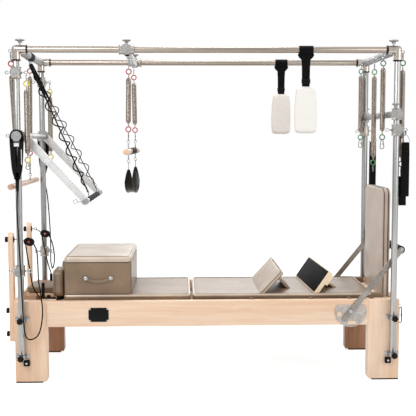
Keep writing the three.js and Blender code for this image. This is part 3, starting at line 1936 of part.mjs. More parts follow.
// A leather strap that droops between two studs, with an eye round each.
function boxHandle() {
  const y = -boxHalf - handleThickness / 2 - fit;
  const eyeOuter = handleStudRadius + handleThickness;
  const outer = new THREE.Shape();
  const half = handleStrap / 2;
  const middle = (handleLeft + handleRight) / 2;
  outer.moveTo(handleLeft - half / 2, handleZ);
  outer.quadraticCurveTo(middle, handleZ - 2 * handleSag - half, handleRight + half / 2, handleZ);
  outer.lineTo(handleRight - half, handleZ + half / 2);
  outer.quadraticCurveTo(middle, handleZ - 2 * handleSag + half, handleLeft + half, handleZ + half / 2);
  outer.closePath();
  const strap = sideways(outer, y - handleThickness / 2, y + handleThickness / 2);
  const eyes = [handleLeft, handleRight].map((x) =>
    rod(
      at(x, y - handleThickness / 2, handleZ),
      at(x, y + handleThickness / 2, handleZ),
      eyeOuter,
      clampSides,
    ),
  );
  const bores = [handleLeft, handleRight].map((x) =>
    rod(
      at(x, y - handleThickness, handleZ),
      at(x, y + handleThickness, handleZ),
      handleStudRadius + fit,
      rodSides,
    ),
  );
  return cut(fuse(strap, eyes), bores);
}

// Mat converter: a long pad on a board, notched at the foot end, hung on the rails by tabs.
function matConverter() {
  const boardBottom = deckTop - deckThickness + fit;
  const pad = cushion(
    converterLeft,
    converterRight,
    -padHalf,
    padHalf,
    deckTop,
    matTop,
    padCorner,
    padEdge,
    padCrown,
  );
  const board = box(
    converterLeft + padEdge,
    converterRight - padEdge,
    -padHalf + padEdge,
    padHalf - padEdge,
    deckTop - converterBoard,
    deckTop + sink,
  );
  const notch = box(
    notchLeft,
    converterRight + padEdge,
    -notchHalf,
    notchHalf,
    boardBottom - converterBoard,
    matTop + padEdge,
  );
  const tabs = tabXs.flatMap((x) =>
    sideSigns.map(([, sideSign]) =>
      box(
        x - tabHalf,
        x + tabHalf,
        sideSign * (padHalf - padEdge - sink),
        sideSign * (padHalf + tabReach),
        railTop + fit,
        railTop + fit + tabTall,
      ),
    ),
  );
  return fuse(cut(fuse(pad, board), notch), tabs);
}

// A tilted panel with its lower edge on the mat and a prop behind it, as an outline in X and Z.
function proppedPanel(footAt, length, thickness, angle, propEnd, propThickness, propShare) {
  const ahead = new THREE.Vector2(Math.cos(angle), Math.sin(angle));
  const behind = new THREE.Vector2(ahead.y, -ahead.x);
  const base = matTop + fit;
  const toe = new THREE.Vector2(footAt, base);
  const step = (start, along, over) =>
    start.clone().addScaledVector(ahead, along).addScaledVector(behind, over);
  const heel = step(toe, thickness * (behind.y / -ahead.y), thickness);
  const topFront = step(toe, length, 0);
  const topBack = step(toe, length, thickness);
  const panel = new THREE.Shape([toe, heel, topBack, topFront]);
  const joint = step(toe, propShare * length, thickness / 2);
  const end = new THREE.Vector2(propEnd, base);
  const propAhead = end.clone().sub(joint).normalize();
  const propOver = new THREE.Vector2(-propAhead.y, propAhead.x);
  const upper = joint.clone().addScaledVector(propOver, propThickness);
  const reach = propThickness / Math.abs(propAhead.y);
  const prop = new THREE.Shape([
    joint,
    upper,
    new THREE.Vector2(end.x + reach, base),
    end,
  ]);
  return [panel, prop];
}

function wedgePad() {
  const [panel, prop] = proppedPanel(
    wedgeFootX,
    wedgePanel,
    wedgeThickness,
    wedgeAngle,
    wedgePropX,
    wedgePropThickness,
    wedgePropShare,
  );
  return fuse(
    sideways(panel, -wedgeHalf, wedgeHalf),
    sideways(prop, -wedgeHalf + wedgeThickness, wedgeHalf - wedgeThickness),
  );
}

// The grip board: a rubber face on a tilted wooden board, turned a little about the vertical.
function gripBoard() {
  const [panel, prop] = proppedPanel(
    gripFootX,
    gripPanel,
    gripThickness,
    gripAngle,
    gripPropX,
    gripPropThickness,
    gripPropShare,
  );
  const face = new THREE.Vector2(-Math.sin(gripAngle), Math.cos(gripAngle));
  const ahead = new THREE.Vector2(Math.cos(gripAngle), Math.sin(gripAngle));
  const toe = new THREE.Vector2(gripFootX, matTop + fit);
  const corner = (along, over) => toe.clone().addScaledVector(ahead, along).addScaledVector(face, over);
  const rubber = new THREE.Shape([
    corner(2 * gripRubberInset, -sink),
    corner(gripPanel - gripRubberInset, -sink),
    corner(gripPanel - gripRubberInset, gripRubber),
    corner(2 * gripRubberInset, gripRubber),
  ]);
  const batten = new THREE.Shape([
    corner(gripPanel / 2, -gripThickness - gripStep),
    corner(gripPanel - gripRubberInset, -gripThickness - gripStep),
    corner(gripPanel - gripRubberInset, -gripThickness + sink),
    corner(gripPanel / 2, -gripThickness + sink),
  ]);
  const body = fuse(
    sideways(panel, -gripHalf, gripHalf),
    sideways(rubber, -gripHalf + gripRubberInset, gripHalf - gripRubberInset),
    sideways(batten, -gripHalf, gripHalf),
    sideways(prop, -gripHalf + gripThickness, gripHalf - gripThickness),
  );
  const turn = new THREE.Matrix4().makeTranslation(gripFootX, 0, 0);
  turn.multiply(new THREE.Matrix4().makeRotationZ(gripYaw));
  turn.multiply(new THREE.Matrix4().makeTranslation(-gripFootX, 0, 0));
  return body.transform(turn.elements);
}

// Jump board: a padded board that stands upright in the foot end.
function jumpBoard() {
  const back = jumpFront + jumpPad;
  const foot = footShelfTop + fit;
  const outline = new THREE.Shape();
  outline.moveTo(-jumpHalf, foot);
  outline.lineTo(jumpHalf, foot);
  outline.lineTo(jumpHalf, jumpTop - jumpCorner);
  outline.absarc(jumpHalf - jumpCorner, jumpTop - jumpCorner, jumpCorner, 0, Math.PI / 2, false);
  outline.absarc(-jumpHalf + jumpCorner, jumpTop - jumpCorner, jumpCorner, Math.PI / 2, Math.PI, false);
  outline.closePath();
  const board = lengthways(outline, back - sink, back + jumpWood);
  const standing = new THREE.Matrix4().makeBasis(alongZ, alongY, alongX.clone().negate());
  standing.setPosition(back, 0, (jumpPadBottom + jumpTop) / 2);
  const pad = placed(
    cushionRings(jumpTop - jumpPadBottom, 2 * jumpHalf, jumpPad, jumpCorner, jumpEdge, padCrown),
    standing,
  );
  return fuse(board, pad);
}

// Footbar: two flat arms on the plates' pins and a padded bar between them.
function footbar() {
  const pivot = at(plateX, 0, plateZ);
  const barAxis = at(footbarX, 0, footbarZ);
  const direction = barAxis.clone().sub(pivot).normalize();
  const across = direction.clone().cross(alongY).normalize();
  const tail = from(pivot, direction, -footArmTail);
  const corners = [
    from(tail, across, footArmHalf),
    from(barAxis, across, footArmHalf),
    from(barAxis, across, -footArmHalf),
    from(tail, across, -footArmHalf),
  ];
  const outline = new THREE.Shape(corners.map((corner) => new THREE.Vector2(corner.x, corner.z)));
  const near = woodFace + fit + plateThickness + footArmGap;
  const far = near + footArmThickness;
  const pieces = [
    rod(
      at(footbarX, -near + footbarGripInset, footbarZ),
      at(footbarX, near - footbarGripInset, footbarZ),
      footbarRadius,
    ),
    rod(at(footbarX, -near - sink, footbarZ), at(footbarX, near + sink, footbarZ), footArmHalf),
  ];
  const bores = [];
  sideSigns.forEach(([, sideSign]) => {
    pieces.push(sideways(outline, sideSign * near, sideSign * far));
    [tail, barAxis].forEach((end) => {
      pieces.push(
        rod(at(end.x, sideSign * near, end.z), at(end.x, sideSign * far, end.z), footArmHalf, tubeSides),
      );
    });
    bores.push(
      rod(
        at(plateX, sideSign * (near - sink), plateZ),
        at(plateX, sideSign * (far + sink), plateZ),
        pivotRadius + turnFit,
        turnSides,
      ),
    );
  });
  return cut(fuse(pieces), bores);
}

// Assembly

endSigns.forEach(([endName, endSign]) => {
  sideSigns.forEach(([sideName, sideSign]) => {
    add("leg_" + endName + "_" + sideName, leg(endSign, sideSign), "wood");
    add("upright_" + endName + "_" + sideName, upright(endSign, sideSign), "tube");
  });
});
sideSigns.forEach(([sideName, sideSign]) => {
  add("side_rail_" + sideName, sideRail(sideSign), "wood");
  add("footbar_plate_" + sideName, footbarPlate(sideSign), "plate");
  add("top_rail_" + sideName, topRail(sideSign), "tube");
});
add("head_frame", headFrame(), "wood");
add("foot_rail", footRail(), "wood");
add("canopy_end_head", canopyHeadEnd(), "tube");
add("canopy_end_foot", canopyFootEnd(), "tube");

add("push_bar_mount", pushBarMount(), "clamp");
add("push_through_bar", pushThroughBar(), "clamp");
sideSigns.forEach(([sideName, sideSign]) => {
  add("push_bar_cord_" + sideName, pushBarCord(sideSign), "black", true);
});

const armSizes = { hook: armHook, neck: springNeck, body: armSpringBody, tail: armTail };
const shortSizes = { hook: shortHook, neck: shortNeck, body: shortSpringBody, tail: shortTail };
const outerSizes = { hook: outerHook, neck: outerNeck, body: outerSpringBody, tail: outerTail };
const farSizes = { hook: farHook, neck: farNeck, body: farSpringBody, tail: farTail };

sideSigns.forEach(([sideName, sideSign]) => {
  const armEye = at(headX + clampEyeReach, sideSign * (uprightGauge / 2), armClampHeight);
  add("arm_clamp_" + sideName, sideClamp(-1, sideSign, armClampHeight, [-1, 1]), "clamp");
  add("arm_spring_" + sideName, hangingSpring(armEye, armSizes), "spring");
  add("strap_clamp_" + sideName, sideClamp(1, sideSign, strapClampHeight, [-1, 1]), "clamp");
  add("foot_strap_" + sideName, footStrap(sideSign), "black");
});
add("cross_clamp", crossClamp(), "clamp");

const [outerEye, shortFrontEye, farEye, shortBackEye] = footTopEyes.map(footEyePlace);
add("leg_spring_outer", hangingSpring(outerEye, outerSizes, outerTailStrap), "spring");
add("leg_spring_front", hangingSpring(shortFrontEye, shortSizes), "spring");
add("leg_spring_middle", hangingSpring(farEye, farSizes, farTailStrap), "spring");
add("leg_spring_back", hangingSpring(shortBackEye, shortSizes), "spring");

add("roll_down_bar", rollDownBar(), "wood");
add(
  "roll_down_spring_front",
  hookedSpring(
    rollFrontTopEye,
    rollFrontLowEye,
    { hook: rollFrontHook, neck: rollFrontNeck, body: rollBody },
  ),
  "spring",
);
add(
  "roll_down_spring_back",
  hookedSpring(rollBackTopEye, rollBackLowEye, { hook: rollHook, neck: rollBackNeck, body: rollBody }),
  "spring",
);

add("trapeze_slider", trapezeSlider(), "clamp");
add("trapeze_bar", trapezeBar(), "darkWood");
sideSigns.forEach(([sideName, sideSign]) => {
  const sizes = { hook: trapezeHook, neck: springNeck, body: trapezeBody };
  add(
    "trapeze_spring_" + sideName,
    hookedSpring(trapezeTopEye(sideSign), trapezeLowEye(sideSign), sizes),
    "spring",
  );
});

add("fleece_loop_front", fleeceLoop(fleeceX, -1), "fleece");
add("fleece_loop_back", fleeceLoop(fleeceBackX, 1), "fleece");
add("pulley_front", pulley(-1, pulleyFrontZ), "black");
add("pulley_back", pulley(1, pulleyBackZ), "black");
const ropeFrontPoints = ropeRoute(ropeFrontSteps, -1, pulleyFrontZ);
const ropeBackPoints = ropeRoute(ropeBackSteps, 1, pulleyBackZ);
add("rope_front", fuse(rope(ropeFrontPoints), handLoop(headX, -1)), "black", true);
add("rope_back", fuse(rope(ropeBackPoints), handLoop(headX, 1)), "black", true);

add("carriage_deck", carriageDeck(), "wood");
add(
  "carriage_pad",
  cushion(padLeft, deckRight, -padHalf, padHalf, deckTop + fit, matTop, padCorner, padEdge, padCrown),
  "leather",
);
add(
  "headrest",
  cushion(
    headTongueLeft,
    restLeft - fit,
    -headrestHalf,
    headrestHalf,
    headTongueTop + headBlockTall + fit,
    headrestTop,
    padCorner,
    headrestEdge,
    padCrown,
  ),
  "leather",
);
sideSigns.forEach(([sideName, sideSign]) => {
  add("shoulder_rest_" + sideName, shoulderRest(sideSign), "leather");
});
add("sitting_box", sittingBox(), "leather");
add("box_handle", boxHandle(), "leather");
add("mat_converter", matConverter(), "leather");
add("wedge_pad", wedgePad(), "leather");
add("grip_board", gripBoard(), "wood");
add("jump_board", jumpBoard(), "leather");
add("footbar", footbar(), "plate");

console.log("least gap in a coil: " + Math.min(...coilGaps).toFixed(2) + " mm");

// The origin is the middle of the underside of everything but the cords.
const frameBox = new THREE.Box3();
part.children
  .filter((node) => !cordNames.includes(node.name))
  .forEach((node) => frameBox.expandByObject(node));
const middle = frameBox.getCenter(new THREE.Vector3());
part.position.set(-middle.x, -middle.y, -frameBox.min.z);

export default part;
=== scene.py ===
"""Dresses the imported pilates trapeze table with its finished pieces, on its own frame."""

from math import asin, atan2, copysign, cos, pi, radians, sin, sqrt, tau

import bmesh
import bpy
from bpy.props import FloatProperty, FloatVectorProperty, PointerProperty
from mathutils import Matrix, Vector, noise


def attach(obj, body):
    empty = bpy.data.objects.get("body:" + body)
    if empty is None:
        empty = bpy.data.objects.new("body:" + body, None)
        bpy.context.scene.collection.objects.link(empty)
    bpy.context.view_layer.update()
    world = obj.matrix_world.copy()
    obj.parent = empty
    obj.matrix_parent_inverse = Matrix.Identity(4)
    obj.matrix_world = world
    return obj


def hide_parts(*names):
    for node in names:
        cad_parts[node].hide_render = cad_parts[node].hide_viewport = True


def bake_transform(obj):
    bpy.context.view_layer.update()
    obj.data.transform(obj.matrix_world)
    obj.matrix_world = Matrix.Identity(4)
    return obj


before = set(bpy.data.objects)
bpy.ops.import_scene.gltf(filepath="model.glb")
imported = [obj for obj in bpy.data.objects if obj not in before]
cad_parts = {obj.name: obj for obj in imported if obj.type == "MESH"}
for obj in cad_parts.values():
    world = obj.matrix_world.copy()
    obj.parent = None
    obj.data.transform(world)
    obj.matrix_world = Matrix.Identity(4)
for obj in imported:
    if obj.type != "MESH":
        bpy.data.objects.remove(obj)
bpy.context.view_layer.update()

bl_info = {
    "name": "Pilates trapeze table", "version": (1, 0, 0), "blender": (4, 5, 0),
    "location": "3D View > Sidebar > Trapeze table",
    "description": "Builds the timber, canopy, springs, straps and pads of a trapeze table",
    "category": "Object",
}

# Sizes in millimetres. X runs from the head end to the foot end, Y from front to back, Z is up.
CENTRE_SHIFT = 19.035  # from the table's middle to the frame's origin
HEAD_X, FOOT_X = -1123.5, 1123.5
GAUGE_Y = 435.0
CANOPY_Z = 2002.0
RAIL_TOP = 500.0
WOOD_FACE = 400.0
LEG_INNER, LEG_OUTER = 979.5, 1171.5
TUBE = 19.0
SLEEVE = 24.0
EYE_Z = 1992  # the eyes under the end bars
ARM_Z, PUSH_Z, STRAP_Z, CROSS_Z = 1868, 1498, 1531, 1625  # the clamps on the uprights
MOUNT_X = -1097  # the push-through bar's pivot
GRIP_X, GRIP_Z, LINE_EYE_Z = -733, 1107, 1145  # its grip, and the eyes of its lines
ROLL_X, ROLL_EYE_X, ROLL_EYE_Z = -1170, -1157.5, 1243  # the roll-down bar and its springs' eyes
SLIDER_X, HANG_EYE_Z, DOWEL_Z = -478, 1463, 1402  # the trapeze
MAT_TOP = 526.3
PLATE_X, PLATE_Z = 870, 430  # the footbar's pivot
RIM = radians(60)  # edges sharper than this are eased on flat sheet
HOOK_DROP = 3.95
EYE = 9.0
EYE_WIRE = 2.6
HOOK_WIRE = 2.3
SIDES = (("front", -1), ("back", 1))
ENDS = (("head", -1), ("foot", 1))
X, Y, Z = Vector((1, 0, 0)), Vector((0, 1, 0)), Vector((0, 0, 1))
DOWN = Vector((0, 0, -1))

finishes = {}


def at(x, y, z):
    return Vector((x, y, z))


ROLL_SPRINGS = (
    (at(ROLL_EYE_X, -435, EYE_Z), at(ROLL_X, -200, ROLL_EYE_Z)),
    (at(ROLL_EYE_X, 200, EYE_Z), at(ROLL_X, 200, ROLL_EYE_Z)),
)


def linear(code):
    """An sRGB hex colour as linear red, green and blue."""
    shares = [int(code[i : i + 2], 16) / 255 for i in (1, 3, 5)]
    return tuple(v / 12.92 if v <= 0.04045 else ((v + 0.055) / 1.055) ** 2.4 for v in shares)


def aimed(origin, direction):
    """The matrix that sets a shape drawn up Z along a direction from a point."""
    turn = Vector(direction).to_track_quat("Z", "Y").to_matrix().to_4x4()
    return Matrix.Translation(origin) @ turn


def arc(centre, across, along, radius, start, end, steps):
    """Points on an arc in the plane of two directions, angles in turns."""
    made = []
    for i in range(steps + 1):
        turn = 2 * pi * (start + (end - start) * i / steps)
        made.append(centre + across * radius * cos(turn) + along * radius * sin(turn))
    return made


def smooth_route(points, per_run=4, closed=False):
    """Points on a centripetal curve through the given ones."""
    count = len(points)
    runs = count if closed else count - 1
    made = []
    for i in range(runs):
        p1, p2 = points[i], points[(i + 1) % count]
        p0 = points[i - 1] if closed or i else p1 * 2 - p2
        p3 = points[(i + 2) % count] if closed or i < runs - 1 else p2 * 2 - p1
        d0, d1, d2 = [max((b - a).length, 1e-4) ** 0.5 for a, b in ((p0, p1), (p1, p2), (p2, p3))]
        t1 = ((p1 - p0) / d0 - (p2 - p0) / (d0 + d1) + (p2 - p1) / d1) * d1
        t2 = ((p2 - p1) / d1 - (p3 - p1) / (d1 + d2) + (p3 - p2) / d2) * d1
        for k in range(per_run):
            s = k / per_run
            made.append(
                p1 * (
                    2 * s**3 - 3 * s**2 + 1
                ) + t1 * (s**3 - 2 * s**2 + s) + p2 * (3 * s**2 - 2 * s**3) + t2 * (s**3 - s**2)
            )
    return made if closed else made + [points[-1].copy()]


class Piece:
    """One piece in the making: shapes in millimetres, each in one of its finishes."""

    def __init__(self, name, finish):
        self.name = name
        self.mesh = bmesh.new()
        self.finishes = [finish]
        self.paint = 0

    def use(self, finish):
        """The shapes that follow take this finish."""
        if finish not in self.finishes:
            self.finishes.append(finish)
        self.paint = self.finishes.index(finish)
        return self

    def take(self, shape, place=None):
        """Moves a finished shape into the piece."""
        if place is not None:
            bmesh.ops.transform(shape, matrix=place, verts=shape.verts)
        face_out(shape)
        for face in shape.faces:
            face.material_index = self.paint
            face.smooth = True
        part = bpy.data.meshes.new("shape")
        shape.to_mesh(part)
        shape.free()
        self.mesh.from_mesh(part)
        bpy.data.meshes.remove(part)

    def rod(self, start, end, radius, ease=0.6, sides=32, end_radius=None):
        """A round bar between two points, its rims eased."""
        shape = bmesh.new()
        axis = Vector(end) - Vector(start)
        last = radius if end_radius is None else end_radius
        bmesh.ops.create_cone(
            shape, cap_ends=True, segments=sides, radius1=radius, radius2=last, depth=axis.length
        )
        ease_edges(shape, cap_rims(shape), ease, 2)
        self.take(shape, aimed((Vector(start) + Vector(end)) / 2, axis))

    def turned(self, profile, start, direction, steps=40):
        """A profile of (radius, distance) pairs turned about a line."""
        shape = bmesh.new()
        corners = [shape.verts.new((radius, 0, height)) for radius, height in profile]
        edges = [shape.edges.new(pair) for pair in zip(corners, corners[1:])]
        bmesh.ops.spin(
            shape, geom=corners + edges, axis=(0, 0, 1), cent=(0, 0, 0), angle=2 * pi, steps=steps,
            use_merge=True,
        )
        bmesh.ops.remove_doubles(shape, verts=shape.verts, dist=1e-4)
        self.take(shape, aimed(start, direction))

    def block(self, x, y, z, ease=1.5, place=None, segments=2):
        """A block between two X, two Y and two Z values, its edges eased."""
        shape = bmesh.new()
        middle = Vector([(a + b) / 2 for a, b in (x, y, z)])
        size = [abs(b - a) for a, b in (x, y, z)]
        spread = Matrix.Translation(middle) @ Matrix.Diagonal((*size, 1))
        bmesh.ops.create_cube(shape, size=1, matrix=spread)
        ease_edges(shape, shape.edges[:], ease, segments)
        self.take(shape, place)

    def board(self, outline, depth, ease=1.5, segments=2, place=None):
        """A flat outline given a depth, its edges eased."""
        shape = bmesh.new()
        near = shape.faces.new([shape.verts.new(point) for point in outline])
        copy = bmesh.ops.duplicate(shape, geom=[near])["geom"]
        far = only(copy, bmesh.types.BMFace)[0]
        bmesh.ops.translate(shape, vec=depth, verts=far.verts)
        bmesh.ops.bridge_loops(shape, edges=near.edges[:] + far.edges[:])
        face_out(shape)
        rims = [edge for edge in shape.edges if edge.calc_face_angle(0) > radians(25)]
        ease_edges(shape, rims, ease, segments)
        self.take(shape, place)

    def wire(self, points, radius, closed=False, fine=1):
        """A round wire through points."""
        curve = bpy.data.curves.new("wire", "CURVE")
        curve.dimensions = "3D"
        curve.bevel_depth = radius
        curve.bevel_resolution = fine
        curve.use_fill_caps = not closed
        spline = curve.splines.new("POLY")
        spline.points.add(len(points) - 1)
        for spot, point in zip(spline.points, points):
            spot.co = (*point, 1)
        spline.use_cyclic_u = closed
        holder = bpy.data.objects.new("wire", curve)
        swept = bpy.data.meshes.new_from_object(holder)
        shape = bmesh.new()
        shape.from_mesh(swept)
        bpy.data.objects.remove(holder)
        bpy.data.curves.remove(curve)
        bpy.data.meshes.remove(swept)
        bmesh.ops.remove_doubles(shape, verts=shape.verts, dist=1e-4)
        self.take(shape)

    def ring(self, centre, across, along, radius=EYE, wire=EYE_WIRE, steps=28):
        """A round ring in the plane of two directions."""
        self.wire(arc(centre, across, along, radius, 0, 1, steps)[:-1], wire, closed=True)

    def link(self, top, bottom, along, across, radius=8, wire=HOOK_WIRE, low_radius=None):
        """A long link round two centres, with the nut that closes it."""
        points = arc(top, across, along, radius, 0.5, 1, 10)
        points += arc(bottom, across, along, low_radius or radius, 0, 0.5, 10)
        self.wire(points, wire, closed=True)
        middle = (top + bottom) / 2 + across * radius
        half = min(6.5, (bottom - top).length * 0.4 + 1)
        self.rod(middle - along * half, middle + along * half, wire * 1.55, 0.5, 6)

    def coil(self, start, end, radius, wire, pitch, steps=12, sides=5):
        """A close-wound wire between two points."""
        shape = bmesh.new()
        axis = end - start
        turns = axis.length / pitch
        count = round(turns * steps)
        section = Matrix.Translation((radius, 0, 0)) @ Matrix.Rotation(pi / 2, 4, "X")
        bmesh.ops.create_circle(shape, segments=sides, radius=wire, matrix=section)
        bmesh.ops.spin(
            shape, geom=shape.verts[:] + shape.edges[:], axis=(0, 0, 1), cent=(0, 0, 0),
            dvec=(0, 0, axis.length / count), angle=2 * pi * turns, steps=count,
        )
        self.take(shape, aimed(start, axis))

    def ribbon(self, points, across, width, thick, closed=False, ease=0):
        """A flat band along points; width is one number or one per point."""
        shape = bmesh.new()
        widths = [width] * len(points) if isinstance(width, (int, float)) else width
        line = [shape.verts.new(point - across * (wide / 2)) for point, wide in zip(points, widths)]
        pairs = list(zip(line, line[1:])) + ([(line[-1], line[0])] if closed else [])
        edges = [shape.edges.new(pair) for pair in pairs]
        pulled = bmesh.ops.extrude_edge_only(shape, edges=edges)["geom"]
        far = only(pulled, bmesh.types.BMVert)
        reach = {tuple(round(c, 4) for c in v.co): wide for v, wide in zip(line, widths)}
        for vert in far:
            vert.co += across * reach[tuple(round(c, 4) for c in vert.co)]
        face_out(shape)
        bmesh.ops.solidify(shape, geom=shape.faces[:], thickness=thick)
        if ease:
            ease_edges(shape, [e for e in shape.edges if e.calc_face_angle(0) > RIM], ease, 2)
        self.take(shape)

    def crossbar(self, x, ends, z, radius, ease, sides):
        """A round bar along Y."""
        self.rod(at(x, ends[0], z), at(x, ends[1], z), radius, ease, sides)

    def sheet(self, loops, depth, ease):
        """Flat metal: an outline with its holes, given a depth."""
        shape = bmesh.new()
        edges = []
        for loop in loops:
            corners = [shape.verts.new(point) for point in loop]
            edges += [shape.edges.new(pair) for pair in zip(corners, corners[1:] + corners[:1])]
        bmesh.ops.triangle_fill(shape, edges=edges, use_beauty=True, normal=depth.normalized())
        pulled = bmesh.ops.extrude_face_region(shape, geom=shape.faces[:])["geom"]
        bmesh.ops.translate(shape, vec=depth, verts=only(pulled, bmesh.types.BMVert))
        face_out(shape)
        ease_edges(shape, [e for e in shape.edges if e.calc_face_angle(0) > RIM], ease, 2)
        self.take(shape)

    def eye(self, start, centre, way, along, across):
        """A screw eye: its stem from a surface, and the ring at its end."""
        self.rod(start, centre - way * EYE, 4, 0.5, 16)
        self.ring(centre, along, across)

    def done(self, body, slot, *nodes, crease=34):
        """Puts the piece in the scene on its body, in place of its CAD nodes."""
        place = Matrix.Scale(0.001, 4) @ Matrix.Translation((CENTRE_SHIFT, 0, 0))
        bmesh.ops.transform(self.mesh, matrix=place, verts=self.mesh.verts)
        data = bpy.data.meshes.new(self.name)
        self.mesh.to_mesh(data)
        self.mesh.free()
        data.set_sharp_from_angle(angle=radians(crease))
        for finish in self.finishes:
            data.materials.append(finishes[finish])
        made = bpy.data.objects.new(self.name, data)
        bpy.context.scene.collection.objects.link(made)
        if body:
            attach(made, body)
        if nodes:
            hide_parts(*nodes)
        return made


def face_out(shape):
    """Turns every face of a shape to the outside."""
    bmesh.ops.recalc_face_normals(shape, faces=shape.faces)


def basis(along, across, out):
    """The turn that lays a shape drawn in X, Y and Z along three directions."""
    return Matrix((along, across, out)).transposed().to_4x4()


def square_to(direction, axis):
    """The direction nearest to an axis that stands square to another."""
    return (axis - direction * axis.dot(direction)).normalized()


def only(items, kind):
    """The items of one kind among what an operator gives back."""
    return [item for item in items if isinstance(item, kind)]


def cap_rims(shape):
    """The edges round a bar's two ends."""
    return [edge for edge in shape.edges if any(len(f.verts) > 4 for f in edge.link_faces)]


def ease_edges(shape, edges, offset, segments):
    """Rounds edges over by an offset."""
    if offset and edges:
        bmesh.ops.bevel(
            shape, geom=edges, offset=offset, offset_type="OFFSET", segments=segments,
            profile=0.5, affect="EDGES", material=-1, clamp_overlap=True,
        )


def upholstered(
    piece, low, high, corner, rim, crown, pull, place=None, cuts=(22, 12), swell=0.0, base=None
):
    """A padded block: rounded in plan, soft at its rims, crowned on top, sides drawn in between corners."""
    shape = bmesh.new()
    low, high = Vector(low), Vector(high)
    half = (high - low) / 2
    middle = (high + low) / 2
    spread = Matrix.Diagonal((half.x * 2, half.y * 2, half.z * 2, 1))
    bmesh.ops.create_cube(shape, size=1, matrix=spread)
    for axis, count, edge in ((0, cuts[0], corner), (1, cuts[1], corner)):
        reach = half[axis]
        stops = [reach * (2 * i / count - 1) for i in range(1, count)]
        for share in (0.12, 0.3, 0.55, 0.8, 1.0, 1.3):
            stops += [reach - edge * share, edge * share - reach]
        for stop in sorted(set(round(s, 3) for s in stops if abs(s) < reach - 0.05)):
            cut_across(shape, axis, stop)
    for share in (0.15, 0.4, 0.7, 1.0):
        for level in (half.z - rim * share, rim * share - half.z):
            cut_across(shape, 2, level)
    for vert in shape.verts:
        soften(vert, half, corner, rim, crown, pull, swell)
    centred = Matrix.Translation(middle)
    centred = place @ centred if place else centred
    bmesh.ops.transform(shape, matrix=centred, verts=shape.verts)
    if base is not None:
        cut_off(shape, base)
    piece.take(shape)


def cut_off(shape, level):
    """Takes away what lies under a level and closes the cut."""
    cut = bmesh.ops.bisect_plane(
        shape, geom=shape.verts[:] + shape.edges[:] + shape.faces[:], plane_co=(0, 0, level),
        plane_no=(0, 0, 1), clear_inner=True,
    )["geom_cut"]
    bmesh.ops.edgeloop_fill(shape, edges=only(cut, bmesh.types.BMEdge))


def cut_across(shape, axis, level):
    """Adds a loop of edges at a level of X, Y or Z."""
    across = (X, Y, Z)[axis]
    everything = shape.verts[:] + shape.edges[:] + shape.faces[:]
    bmesh.ops.bisect_plane(shape, geom=everything, plane_co=across * level, plane_no=across)


def soften(vert, half, corner, rim, crown, pull, swell):
    """Moves one point of a cut block to where it lies on the upholstered form."""
    x, y, z = vert.co
    u, v = x / half.x, y / half.y
    inner_x, inner_y = half.x - corner, half.y - corner
    over = Vector((abs(x) - inner_x, abs(y) - inner_y))
    if over.x > 0 and over.y > 0:
        reach = max(over.x, over.y)
        over = over.normalized() * reach
        x = copysign(inner_x + over.x, x)
        y = copysign(inner_y + over.y, y)
        way = Vector((copysign(over.x, x), copysign(over.y, y))).normalized()
        inward = corner - reach
    elif over.x > over.y:
        way, inward = Vector((copysign(1, x), 0)), corner - over.x
    else:
        way, inward = Vector((0, copysign(1, y))), corner - over.y
    under = half.z - abs(z)
    if inward < rim and under < rim:
        bend = Vector((rim - inward, rim - under))
        longest = max(bend)
        bend = bend.normalized() * longest if longest > 0 else bend
        shift = (rim - inward) - bend.x
        x -= way.x * shift
        y -= way.y * shift
        z = copysign(half.z - rim + bend.y, z)
    draw = pull * ((1 - u * u) if abs(way.y) > abs(way.x) else (1 - v * v))
    belly = swell * (1 - (z / half.z) ** 2)
    if inward < corner:
        x += way.x * (belly - draw)
        y += way.y * (belly - draw)
    if z > 0:
        z += crown * (z / half.z) * (1 - u**4) * (1 - v**4)
    vert.co = (x, y, z)


def rgb(colour):
    """A hex code or a linear colour with full alpha."""
    return (*(linear(colour) if isinstance(colour, str) else colour), 1.0)


def put(material, kind, inputs=None, **settings):
    """Adds one node with its settings, values and links; a node given as a value links its first output."""
    tree = material.node_tree
    node = tree.nodes.new("ShaderNode" + kind)
    for name, value in settings.items():
        setattr(node, name, value)
    for name, value in (inputs or {}).items():
        if isinstance(value, bpy.types.Node):
            value = value.outputs[0]
        if isinstance(value, bpy.types.NodeSocket):
            tree.links.new(value, node.inputs[name])
        else:
            node.inputs[name].default_value = value
    return node


def blank(name):
    """A new material with nothing in it, kept under its name."""
    made = bpy.data.materials.new(name)
    made.use_nodes = True
    made.node_tree.nodes.clear()
    finishes[name] = made
    return made


def object_space(made, scale=(1, 1, 1), turn=(0, 0, 0)):
    """Object coordinates, stretched and turned."""
    where = put(made, "TexCoord").outputs["Object"]
    return put(made, "Mapping", {"Vector": where, "Scale": scale, "Rotation": turn})


def toned(made, pattern, low, high, dark, light):
    """A pattern's stretch between two levels, from a dark colour to a light one."""
    spread = put(made, "MapRange", {"Value": pattern, "From Min": low, "From Max": high})
    return put(made, "MixRGB", {"Fac": spread, "Color1": rgb(dark), "Color2": rgb(light)})


def finished(made, colour, pattern, rough, bump, low=0.0, high=1.0, **shader):
    """Ends a material: its roughness follows a pattern, and the rest is set on the shader."""
    levels = {"From Min": low, "From Max": high, "To Min": rough[0], "To Max": rough[1]}
    gloss = put(made, "MapRange", {"Value": pattern, **levels})
    values = {key.replace("_", " "): value for key, value in shader.items()}
    links = {"Base Color": colour, "Roughness": gloss, "Normal": bump}
    put(made, "OutputMaterial", {"Surface": put(made, "BsdfPrincipled", {**links, **values})})


